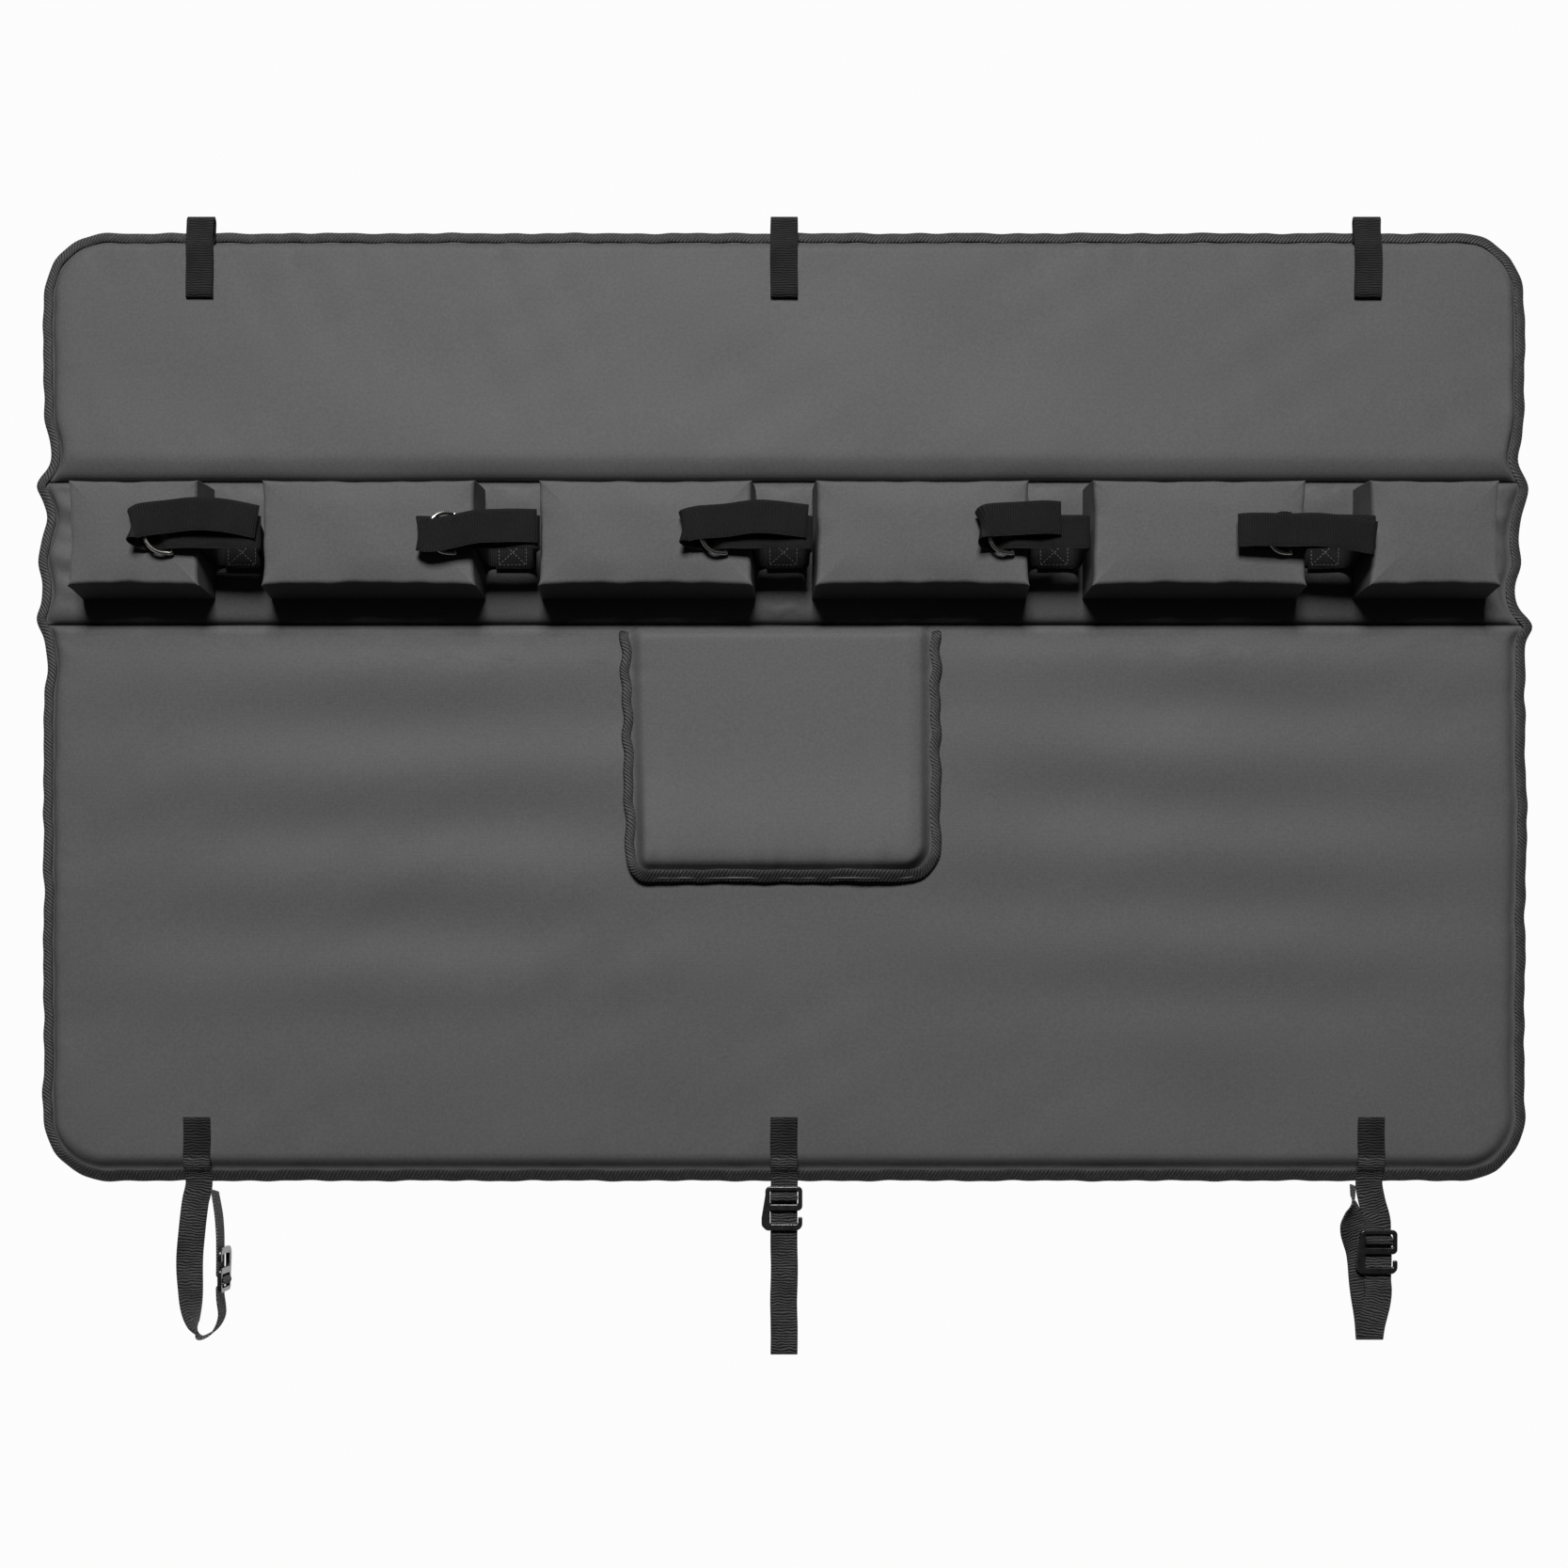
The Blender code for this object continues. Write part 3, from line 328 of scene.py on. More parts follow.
# Polyester backing, plain woven: matt, with threads 0.6 mm apart drawn at 3 mm to show
backing, tree, shader = new_finish("woven_polyester_backing")
place = node(tree, "ShaderNodeTexCoord").outputs["Object"]
weave = combine(tree, "MULTIPLY", waves(tree, place, 105.0, "X"), waves(tree, place, 105.0, "Y"))
feed(tree, shader, {"Base Color": blend(tree, weave, "#1b1b1b", "#2b2b2b"),
                    "Normal": bump(tree, weave, 0.0003), "Roughness": 0.85})

count = (120, 12, 130)
outer = rings_between(panel_outline(LOW, HIGH, TUCK, 0.0, count),
                      panel_outline(LOW, HIGH, LAID, 0.0, count), HEM_RINGS)
inner = rings_between(window_outline(LAID, count), window_outline(TUCK, count), HEM_RINGS)
ring = np.concatenate((outer, rings_between(outer[-1], inner[0], 26)[1:-1], inner))
hem = np.linspace(BACK_HELD, BACK_LAID, HEM_RINGS)[:, None]
lift = np.full(ring.shape[:2], BACK_LAID)
lift[:HEM_RINGS], lift[-HEM_RINGS:] = hem, hem[::-1]
lift += 0.0003 + 0.0003 * ripple(ring[..., 0] + 0.4 * ring[..., 1], (0.07, 0.11, 0.23), 5)
back = build("back_cloth", np.dstack((ring, np.maximum(lift, 0.0001)))[::-1], backing, loop=True)
thicken(back, 0.0009, -1.0)
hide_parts("back_cover")
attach(back, "root")


# The three front covers: coated fabric sewn over an 11 mm foam sheet.  Each is flat under the
# edge tape and in the two fold seams, rises over a round shoulder, and puckers at its seams.

RIM_HEIGHT, PANEL_HEIGHT = 0.0034, 0.0136
SEAM_HEIGHT = 0.0012
FABRIC_LIGHT, FABRIC_DARK = "#575757", "#515151"
COVER_THICK = 0.0009
# For each side: how far in its wall stands, how wide the wall and the round top above it are,
# the share of the height that the round top takes, and the power of its curve
RIMS = {"top": (0.0095, 0.007, 0.012, 0.10, 2), "bottom": (0.0105, 0.0125, 0.028, 0.17, 2),
        "left": (0.0095, 0.008, 0.020, 0.22, 2), "right": (0.0100, 0.012, 0.034, 0.45, 3),
        "high": (0.0095, 0.007, 0.010, 0.10, 2)}
# How far in the rings of a cover lie, from the pad's own edges and from the fold seams, and
# how much the cover falls where the tape holds it, out from the fourth of them
EDGE_RINGS = (0.0035, 0.0065, 0.0095, 0.0105, 0.012, 0.014, 0.0165, 0.0195, 0.023, 0.027, 0.032)
SEAM_RINGS = (0.0003, 0.0012, 0.0025, 0.004, 0.006, 0.008, 0.0105, 0.013, 0.0155, 0.018, 0.0205)
TUCK_FALL = 0.0014
# Gathers at the pad's edge, at a panel's upper seam and at its lower one: how far in they
# start to fade, over what length, and how high they are
EDGE_GATHERS = (0.012, 0.010, 0.0008)
HIGH_GATHERS, LOW_GATHERS = (0.003, 0.008, 0.0004), (0.003, 0.008, 0.0005)
# Bands left by folding, on the lower panel's left and right: where their middle is, how far
# they reach from it, where they start, how they lean, and how far apart they are
FOLD_BANDS = ((-0.36, 0.24, 0.1337, -0.02, 0.0953), (0.40, 0.23, 0.1198, 0.02, 0.0914))
# Where the bands end below and above, and over what length they fade
BAND_ENDS = ((-0.43, 0.025), (-0.088, 0.006))
BAND_HEIGHT, SLOW_HEIGHT, MOTTLE_HEIGHT = 0.0021, 0.0008, 0.00025
# The upper panel's roll above its seam, and the gaps between the blocks: how far apart and
# how wide they are, how high the strip bulges, sinks, folds and curls there, and its ends
ROLL_Y, ROLL_HEIGHT = 0.090, 0.0026
GAP_PITCH, GAP_HALF = 0.249, 0.0295
BULGE, SINK, FOLD, CURL, END_FOLD = 0.0026, 0.0012, 0.0009, 0.0022, 0.0016

# Coated fabric: a polyester base under a soft vinyl skin, calendered.  The skin gives a broad
# dull shine, and the base shows through it as a fine print, 1 mm threads drawn at 2 mm
fabric, tree, shader = new_finish("calendered_vinyl_fabric")
place = node(tree, "ShaderNodeTexCoord").outputs["Object"]
spread = noise(tree, place, 4.5)
shade = node(tree, "ShaderNodeVectorMath", {
    0: blend(tree, spread, FABRIC_DARK, FABRIC_LIGHT),
    1: mapped(tree, noise(tree, place, 420.0), 0.9, 1.08, 0.3, 0.7)}, operation="MULTIPLY")
weave = combine(tree, "ADD", waves(tree, place, 160.0, "X"), waves(tree, place, 160.0, "Y"))
print_relief = bump(tree, weave, 0.00005, {"Strength": 0.5})
relief = bump(tree, noise(tree, place, 60.0, 4.0), 0.0004,
              {"Strength": 0.35, "Normal": print_relief})
feed(tree, shader, {"Base Color": shade.outputs[0], "Normal": relief,
                    "Roughness": mapped(tree, spread, 0.50, 0.60), "Specular IOR Level": 0.12})


def shoulder(distance, start, run, power):
    """From 0 at the start up to 1 over the run: a parabola, made fuller by a power below 1."""
    share = np.clip((distance - start) / run, 0, 1)
    return (1 - (1 - share) ** 2) ** power


def bell(value, centre, width):
    """A bell curve of height 1."""
    return np.exp(-(((value - centre) / width) ** 2))


def corner_distance(side, end, radius):
    """How far in from a side and an end that meet in a round corner, and how much of that is
    from the end: 1 along it, 0 along the side and between at the corner."""
    in_corner = (side < radius) & (end < radius)
    across, up = radius - side, radius - end
    distance = np.where(in_corner, radius - np.hypot(across, up), np.minimum(side, end))
    ending = np.where(in_corner, up**2 / np.maximum(across**2 + up**2, 1e-12), end < side)
    return distance, ending


def rim_distance(x, y):
    """How far a point is in from the pad's own edge, and how much of that is from an end."""
    side = np.where(x > 0, rim(1, y) - x, rim(-1, y) + x)
    return corner_distance(side, np.minimum(y - LOW, HIGH - y), CORNER)


def pillow(distance, foot, wall, run, droop, power):
    """Height of a padded edge, from 0 to 1: a wall from its foot, and a round top that droops."""
    share = np.clip((distance - foot) / wall, 0, 1)
    bend = np.clip((foot + run - distance) / run, 0, 1)
    return share**2 * (3 - 2 * share) * (1 - droop * bend**power)


def rim_rise(x, y):
    """The padded edge round the pad, whose shape differs from side to side."""
    distance, ending = rim_distance(x, y)
    upper = np.clip((y - 0.03) / 0.06, 0, 1)
    rises = {side: pillow(distance, *shape) for side, shape in RIMS.items()}
    right = rises["right"] * (1 - upper) + rises["high"] * upper
    sides = np.where(x > 0, right, rises["left"])
    ends = np.where(y > 0, rises["top"], rises["bottom"])
    return sides * (1 - ending) + ends * ending


def swell(x, y):
    """Broad hollows and swells of the foam: the bands that folding for the box left in it."""
    bands = sum(
        bell(x, middle, reach) * np.sin(2 * np.pi * (y + start + lean * (x - middle)) / pitch)
        for middle, reach, start, lean, pitch in FOLD_BANDS)
    (low, low_fade), (high, high_fade) = BAND_ENDS
    bands = bands / (1 + np.exp((low - y) / low_fade)) / (1 + np.exp((y - high) / high_fade))
    slow = ripple(x + 0.5 * y, (0.33, 0.21), 8) * ripple(y - 0.2 * x, (0.17, 0.29), 9)
    mottle = ripple(x - 0.3 * y, (0.083, 0.061), 10) * ripple(y + 0.4 * x, (0.071, 0.095), 11)
    return BAND_HEIGHT * bands + SLOW_HEIGHT * slow + MOTTLE_HEIGHT * mottle


def pucker(along, distance, start, reach, size, seed):
    """Short gathers across a seam, fading with the distance from it."""
    gather = ripple(along, (0.019, 0.031, 0.053, 0.087), seed)
    gather = gather * (0.55 + 0.45 * ripple(along, (0.11, 0.19), seed + 1))
    return size * gather * np.exp(-np.clip(distance - start, 0, 1) / reach)


def cover(name, low, high, count, high_run, low_run, low_power, seed, hole=False, extra=None):
    """A sewn cover: rings in from its edge, and height from the distances to its seams."""
    edge = np.array([panel_outline(low, high, inset, seam, count)
                     for inset, seam in zip(EDGE_RINGS, SEAM_RINGS)])
    if hole:
        closing = rings_between(window_outline(0.0125, count), window_outline(TUCK, count), 5)
        ring = np.concatenate((edge, rings_between(edge[-1], closing[0], 38)[1:-1], closing))
    else:
        centre = edge[-1].copy()
        half = len(centre) // 2 + 1
        right = (centre[:half, 0] + centre[:half, 0][::-1]) / 2
        left = (centre[half:, 0] + centre[half:, 0][::-1]) / 2
        reach = right.max() - (high - low) / 2 + 0.029
        centre[:half, 0] = right * reach / right.max()
        centre[half:, 0] = left * reach / -left.min()
        centre[:, 1] = (low + high) / 2
        ring = np.concatenate((edge, rings_between(edge[-1], centre, 26)[1:]))
    x, y = ring[..., 0], ring[..., 1]
    along = np.broadcast_to(length_along(edge[0]), x.shape)
    outer = rim_distance(x, y)[0]
    full = rim_rise(x, y)
    gathers = pucker(along, outer, *EDGE_GATHERS, seed)
    held = (EDGE_RINGS[3] - outer) / (EDGE_RINGS[3] - TUCK)
    base = RIM_HEIGHT - TUCK_FALL * np.clip(held, 0, 1)
    sunk = (RIM_HEIGHT - SEAM_HEIGHT) * np.clip(outer / 0.02, 0, 1)
    for seam, own_edge, run, power, shape, start in (
            (high, HIGH, high_run, 0.5, HIGH_GATHERS, seed + 2),
            (low, LOW, low_run, low_power, LOW_GATHERS, seed + 4)):
        if seam != own_edge:
            full = full * shoulder(np.abs(y - seam), 0.0008, run, power)
            gathers = gathers + pucker(x, np.abs(y - seam), *shape, start)
            base = base - sunk * bell(y, seam, 0.004)
    if hole:
        beside = np.maximum(
            np.abs(x - WINDOW_X) - WINDOW_HALF,
            np.abs(y - (WINDOW_LOW + WINDOW_TOP) / 2) - (WINDOW_TOP - WINDOW_LOW) / 2)
        full = full * shoulder(np.maximum(beside, 0), 0.0095, 0.012, 0.7)
    z = base + full * (PANEL_HEIGHT - base + gathers + swell(x, y))
    if extra is not None:
        z = z + full * extra(x, y)
    made = build(name, np.dstack((x, y, z)), fabric, loop=True)
    weld(made, 0.00002, outwards=False)
    thicken(made, COVER_THICK, -1.0)
    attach(made, "root")
    return made


def gap_floor(x, y):
    """The strip bulges up between the blocks, most near its upper seam, and folds there."""
    nearest = np.clip(np.round(x / GAP_PITCH), -2, 2) * GAP_PITCH
    bulge = bell(x, nearest, 0.026) * (BULGE * bell(y, 0.047, 0.016)
                                       - SINK * bell(y, -0.030, 0.020))
    folds = FOLD * ripple(x, (0.013, 0.021, 0.034), 13) * bell(y, 0.062, 0.006)
    curl = CURL * bell(x, 0.0, 0.020) * bell(y, -0.054 + 0.002 * np.sin(x / 0.0035), 0.004)
    ends = END_FOLD * (np.abs(x) > 0.645) * ripple(y + 0.3 * x, (0.024, 0.039, 0.061), 14)
    return bulge + folds + curl + ends


def fold_roll(x, y):
    """The upper panel rolls over into its seam, and stands up a little before it."""
    return ROLL_HEIGHT * bell(y, ROLL_Y, np.where(y < ROLL_Y, 0.012, 0.055))


upper = cover("upper_panel", SEAM, HIGH, (120, 12, 48), 0.014, 0.019, 0.6, 20, extra=fold_roll)
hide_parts("upper_cover", "upper_foam")
strip = cover("block_strip", -SEAM, SEAM, (150, 5, 34), 0.008, 0.030, 0.5, 30, extra=gap_floor)
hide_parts("strip_cover", "strip_foam")
lower = cover("lower_panel", LOW, -SEAM, (110, 12, 90), 0.0075, 0.014, 0.5, 40, hole=True)
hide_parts("lower_cover", "lower_foam")


# The edge tape: a woven polyester tape folded over the raw edges of all layers and sewn
# through.  The same tape binds the handle window.

TAPE_WIDTH, TAPE_HEIGHT, TAPE_THICK = 0.009, 0.0045, 0.0008
TAPE_LIGHT, TAPE_DARK = "#4c4c4c", "#101010"
# How far the tape leans along low edges and widens there, the share of its width about which
# it tilts, and how far it is pinched
LEAN, WIDEN, HINGE, PINCH = 1.4, 0.15, 0.55, 0.07

# Polyester grosgrain tape: dull black, with slanting picks 1.2 mm apart drawn at 2.7 mm
tape, tree, shader = new_finish("woven_polyester_tape")
place = node(tree, "ShaderNodeUVMap", uv_map="UVMap").outputs[0]
turned = node(tree, "ShaderNodeMapping", {"Vector": place, "Rotation": (0, 0, math.radians(38))})
picks = waves(tree, turned.outputs[0], 118.0, "X", {"Distortion": 1.5, "Detail": 1.0})
weave = combine(tree, "MULTIPLY", picks, noise(tree, place, 230.0))
feed(tree, shader, {"Base Color": blend(tree, weave, TAPE_DARK, TAPE_LIGHT),
                    "Normal": bump(tree, weave, 0.0009), "Roughness": 0.62})


def outward(line, closed=True):
    """Unit normals of a counter-clockwise line, pointing to its right."""
    if closed:
        along = np.roll(line, -1, 0) - np.roll(line, 1, 0)
    else:
        along = np.gradient(line, axis=0)
    along = along / np.linalg.norm(along, axis=1)[:, None]
    return np.stack((along[:, 1], -along[:, 0]), 1)


def evenly(line, step, closed=True):
    """The same line with its points a step apart."""
    if closed:
        line = np.vstack((line, line[:1]))
    length = length_along(line)
    wanted = np.linspace(0, length[-1], int(length[-1] / step) + 1)
    if closed:
        wanted = wanted[:-1]
    return np.stack([np.interp(wanted, length, line[:, k]) for k in range(line.shape[1])], 1)


def tape_section():
    """Outline of folded tape, as reach in from its fold and height: a U of even thickness."""
    w, h, t = TAPE_WIDTH, TAPE_HEIGHT, TAPE_THICK
    bow = np.linspace(-np.pi / 2, np.pi / 2, 7)
    outside = [(w, 0.0003), (w - 0.0004, 0.0), (w * 0.6, 0.0)]
    outside += [(h / 2 - h / 2 * math.cos(a), h / 2 + h / 2 * math.sin(a)) for a in bow]
    outside += [(w * 0.6, h + 0.0002), (w - 0.0004, h), (w, h - 0.0003)]
    inside = [(w, h - t), (w * 0.6, h - t), (h / 2 + t / 2, h - t), (t, h / 2), (h / 2 + t / 2, t),
              (w * 0.6, t), (w, t)]
    return np.array(outside + inside)


def bind(name, line, inward, seed, closed=True, height=None, wave=0.0005):
    """Tape along a line: the folded section carried along it, in by the section's reach.

    Along a low edge it is pulled down at its fold and stands up on its inner side.
    """
    line = evenly(line, 0.0035, closed)
    along = length_along(np.vstack((line, line[:1])) if closed else line)
    here = along[:len(line)]
    normal = outward(line, closed) * inward
    sway = wave * ripple(here, (0.029, 0.053, 0.117), seed)
    section = tape_section()
    lean = LEAN * np.clip(-normal[:, 1:] * inward, 0, 1) ** 2
    reach = section[:, 0] * (1 + WIDEN * lean)
    flat = line[:, None] - normal[:, None] * (reach + sway[:, None])[..., None]
    z = section[:, 1] * (1 + lean * (section[:, 0] / TAPE_WIDTH - HINGE))
    z *= (1 + PINCH * ripple(here, (0.023, 0.057), seed + 1))[:, None]
    if height is not None:
        z += height(line[:, 0], line[:, 1])[:, None]
    across = length_along(section)
    uv = np.stack(np.meshgrid(along, (*across, across[-1] + 0.0007), indexing="ij"), -1)
    made = build(name, np.dstack((flat, z)), tape, loop=True, ends=not closed, uv=uv,
                 closed=closed)
    weld(made, 0.000001)
    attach(made, "root")
    return made


edge_tape = bind("edge_tape", panel_outline(LOW, HIGH, 0.0, 0.0, (160, 20, 260)), 1.0, 51)
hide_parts("edge_binding")
window_tape = bind("window_tape", window_outline(0.0, (30, 10, 20)), -1.0, 53, wave=0.0003)
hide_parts("window_binding")


# The flap over the handle window: thin foam between fabric and backing, sewn into the lower
# seam at its root and bound with the same tape on its other three edges.

FLAP_LEFT, FLAP_RIGHT, FLAP_TOP, FLAP_LOW = -0.151, 0.144, -0.069, -0.305
FLAP_MIDDLE = (FLAP_LEFT + FLAP_RIGHT) / 2
FLAP_CORNERS, FLAP_TAPER = (0.022, 0.035), 0.006
# Height of its underside, of its cover where it is bound, and of the foam above that
FLAP_BASE, FLAP_BOUND, FLAP_FOAM = 0.0139, 0.0034, 0.0066
# How high the foam swells in its middle, along its low edge and along its right one
PUFF_Y, PUFF_MIDDLE, PUFF_LOW, PUFF_RIGHT = -0.276, 0.0009, 0.0068, 0.0034
FLAP_RIMS = {"low": (0.0072, 0.0115, 0.024, 0.12, 2), "left": (0.0085, 0.011, 0.020, 0.25, 2),
             "right": (0.0080, 0.0120, 0.024, 0.22, 2)}


def flap_taper(y):
    """How far the flap's left side is drawn in at y."""
    return FLAP_TAPER * (FLAP_TOP - y) / (FLAP_TOP - FLAP_LOW)


def flap_half(sign, count):
    """Half of the flap's outline, from the middle of its low edge to that of its root."""
    def side(which, y):
        drawn = flap_taper(y) if which < 0 else 0.0
        return (FLAP_RIGHT - FLAP_LEFT) / 2 - drawn + 0.0012 * ripple(y, (0.052, 0.031), 60 + which)

    corner = FLAP_CORNERS[int(sign > 0)]
    return half_line(sign, FLAP_LOW, FLAP_TOP, corner, 0.001, side, count, FLAP_MIDDLE)


def flap_lie(x, y):
    """Height of the flap's underside: down at its root, and lifted a little at its low edge."""
    share = (FLAP_TOP - y) / (FLAP_TOP - FLAP_LOW)
    root = -0.0085 * bell(y, FLAP_TOP + 0.001, 0.006)
    curl = 0.0045 * share ** 4 * (1 + 0.3 * ripple(x, (0.19, 0.11), 64))
    return FLAP_BASE + root + np.maximum(curl, 0)


def flap_side(x, y):
    """How far in from the flap's bound edges, and how much of that is from its low edge."""
    radius = np.where(x > FLAP_MIDDLE, FLAP_CORNERS[1], FLAP_CORNERS[0])
    side = np.where(x > FLAP_MIDDLE, FLAP_RIGHT - x, x - FLAP_LEFT - flap_taper(y))
    return corner_distance(side, y - FLAP_LOW, radius)


def flap_grid(inset):
    """Places over the flap: lines across it, drawn in at their ends where its corners are."""
    turn = 0.034 * (1 - np.cos(np.linspace(0, np.pi / 2, 16)))
    up = np.concatenate((turn, np.linspace(turn[-1], FLAP_TOP - FLAP_LOW - inset, 64)[1:]))
    y = FLAP_LOW + inset + up
    ends = []
    for side, radius in zip((-1, 1), FLAP_CORNERS):
        reach = (FLAP_LEFT if side < 0 else FLAP_RIGHT) - side * inset
        bend = np.clip(radius - inset - up, 0, None)
        drawn = radius - inset - np.sqrt(np.maximum((radius - inset) ** 2 - bend**2, 0))
        ends.append(reach - side * drawn + flap_taper(y) * (side < 0))
    even = np.linspace(0, 1, 110)
    share = 0.5 * even + 0.25 * (1 - np.cos(np.pi * even))
    x = ends[0][:, None] + (ends[1] - ends[0])[:, None] * share
    return x, np.broadcast_to(y[:, None], x.shape)


x, y = flap_grid(0.003)
inside, lowness = flap_side(x, y)
low_rise, left_rise, right_rise = (pillow(inside, *FLAP_RIMS[side]) for side in FLAP_RIMS)
full = low_rise * lowness + np.where(x > FLAP_MIDDLE, right_rise, left_rise) * (1 - lowness)
full = full * shoulder(FLAP_TOP - y, -0.004, 0.012, 0.5)
around_flap = np.where(lowness > 0.5, x, y + 0.3)
gathers = pucker(around_flap, inside, 0.012, 0.008, 0.0024 * (0.3 + 0.7 * lowness), 66)
puff = (PUFF_MIDDLE * bell(x, FLAP_MIDDLE, 0.11) * bell(y, -0.19, 0.09)
        + PUFF_LOW * bell(y, PUFF_Y, np.where(y < PUFF_Y, 0.025, 0.060))
        + PUFF_RIGHT * bell(x, FLAP_RIGHT - 0.030, 0.020))
lie = flap_lie(x, y)
z = lie + FLAP_BOUND + full * (FLAP_FOAM + puff) + gathers * np.clip(inside / 0.02, 0, 1)
flap = build("handle_flap", np.dstack((x, y, z)), fabric)
thicken(flap, COVER_THICK, -1.0)
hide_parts("flap_cover", "flap_foam")
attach(flap, "root")

lining = build("flap_lining", np.dstack((x, y, lie + 0.0010))[:, ::-1], backing)
thicken(lining, 0.0008, 0.0)
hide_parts("flap_back")
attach(lining, "root")

# The tape runs round its free edges only, so the points along its root are left out
count = (60, 12, 110)
free = -count[0] - 1
round_flap = np.vstack((flap_half(-1, count)[:free][::-1], flap_half(1, count)[1:free]))
flap_tape = bind("flap_tape", round_flap, 1.0, 67, closed=False, height=flap_lie)
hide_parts("flap_binding")


# The six blocks: foam cut to a box and covered like the panels, with the cover's foot sewn
# down to the strip.  Its corners are pulled out to points and its long edges sag between them.

BLOCK_ENDS = ((-0.6425, -0.5275), (-0.4685, -0.2785), (-0.2195, -0.0295),
              (0.0295, 0.2195), (0.2785, 0.4685), (0.5275, 0.6425))
BLOCK_LOW, BLOCK_HIGH = -0.0405, 0.0525
BLOCK_FOOT, BLOCK_TOP = 0.0130, 0.0639
BLOCK_ROUND = 0.0032
# How far the foot flares out, the walls bow out, the edges draw in and dip between the
# corners, the low corners stand out, and the top is crowned
FLARE, BOW, DRAW, DIP, EAR, CROWN = 0.0036, 0.0010, 0.0013, 0.0012, 0.0016, 0.0013


def block(name, left, right, seed):
    """A covered block: rings up its walls, over its edge and in to a line along its middle.

    Each ring keeps an even distance from the block's sides.  The sides are drawn in between
    the corners, which stand out as small points, and both fade from the edge inwards.
    """
    cx, cy = (left + right) / 2, (BLOCK_LOW + BLOCK_HIGH) / 2
    a, b = (right - left) / 2, (BLOCK_HIGH - BLOCK_LOW) / 2
    # A square of 44 columns to a side, closer together towards its corners
    t = np.linspace(-1, 1, 45)[:-1]
    t = np.sign(t) * (1 - (1 - np.abs(t)) ** 1.7) * 0.7 + 0.3 * t
    one = np.ones(44)
    square = np.vstack((np.stack((t, -one), 1), np.stack((one, t), 1),
                        np.stack((-t, one), 1), np.stack((-one, -t), 1)))
    sx, sy = square[:, 0], square[:, 1]
    on_side, on_end = np.abs(sx) > 0.9999, np.abs(sy) > 0.9999
    corner = np.abs(sx * sy) ** 14
    low_edge = on_end & (sy < 0)
    slack = ripple(np.where(on_end, cx + sx * a, cy + sy * b + 0.5), (0.031, 0.057, 0.093), seed)
    level = np.concatenate((np.linspace(0, 0.88, 16), (0.905, 0.93, 0.95)))
    wall = BLOCK_TOP - BLOCK_ROUND - BLOCK_FOOT
    turn = np.linspace(0, np.pi / 2, 7)[1:]
    inset = np.concatenate((0 * level, BLOCK_ROUND * (1 - np.cos(turn)),
                            (0.0045, 0.007, 0.0105, 0.015, 0.021, 0.028, 0.037, b)))
    height = np.concatenate((level / 0.95 * wall, wall + BLOCK_ROUND * np.sin(turn),
                             np.full(8, BLOCK_TOP - BLOCK_FOOT)))
    rings = []
    for d, h in zip(inset, height):
        share = h / (BLOCK_TOP - BLOCK_FOOT)
        out = FLARE * (1 - share) ** 1.5 + BOW * np.sin(np.pi * share)
        fade = math.exp(-d / 0.007)
        drawn = (DRAW + 0.0006 * slack) * share**2 * fade
        x_in = np.where(on_side, (1 - sy**2) * drawn, 0.0)
        y_in = np.where(on_end, (1 - sx**2) * drawn * np.where(low_edge, 1.2, 0.6), 0.0)
        ear = (0.0004 + EAR * (sy < 0)) * corner * share**4 * fade
        x_now = sx * (a - d + out) + np.sign(sx) * (ear - x_in)
        y_now = sy * (b - d + out) + np.sign(sy) * (ear - y_in)
        crown = CROWN * (1 - np.clip(sx * (a - d) / a, -1, 1) ** 4)
        crown = crown * (1 - (sy * (b - d) / b) ** 4)
        crown = crown + 0.0004 * ripple(x_now + 0.7 * y_now, (0.09, 0.15), seed + 9) * (1 - fade)
        top = crown * min(d / 0.02, 1) + 0.0006 * corner * fade
        top = top - (DIP + 0.0005 * slack) * (1 - (sx * sy) ** 2) * fade
        z_now = BLOCK_FOOT + h + share**6 * top
        rings.append(np.stack((x_now, y_now, z_now), 1))
    made = build(name, np.array(rings) + (cx, cy, 0), fabric, loop=True)
    weld(made, 0.00003)
    thicken(made, COVER_THICK, -1.0)
    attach(made, "root")
    return made


for number, (left, right) in enumerate(BLOCK_ENDS, 1):
    made = block(f"block_{number}", left, right, 70 + number)
    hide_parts(f"block_cover_{number}", f"block_foam_{number}")


# The bike straps: 30 mm webbing sewn to the strip in each gap, up over the gap, leaning over
# the block on its left and back through a wire ring that a keeper of 25 mm webbing holds.

WEBBING, WIDE, NARROW = 0.0015, 0.030, 0.025
LIFT = 0.0003 + WEBBING / 2
PATCH_Y, RING_Y = -0.002, 0.004
THREAD_RADIUS, STITCH_STEP, STITCH_GAP = 0.00040, 0.0032, 0.0011
BLOCK_LYING = BLOCK_TOP + LIFT
RING_WIRE, RING_LENGTH, RING_HALF = 0.004, 0.024, 0.018
RING_TILT = math.radians(20)
WRAP = RING_WIRE / 2 + LIFT + 0.0003
RING_SEAT = BLOCK_LYING + WRAP
OVER_WRAP = WRAP + WEBBING + 0.0003
OVER_RING = RING_SEAT + OVER_WRAP
FACING_Y, FACING_X = (0.0, math.pi / 2), (0.0, 0.0)
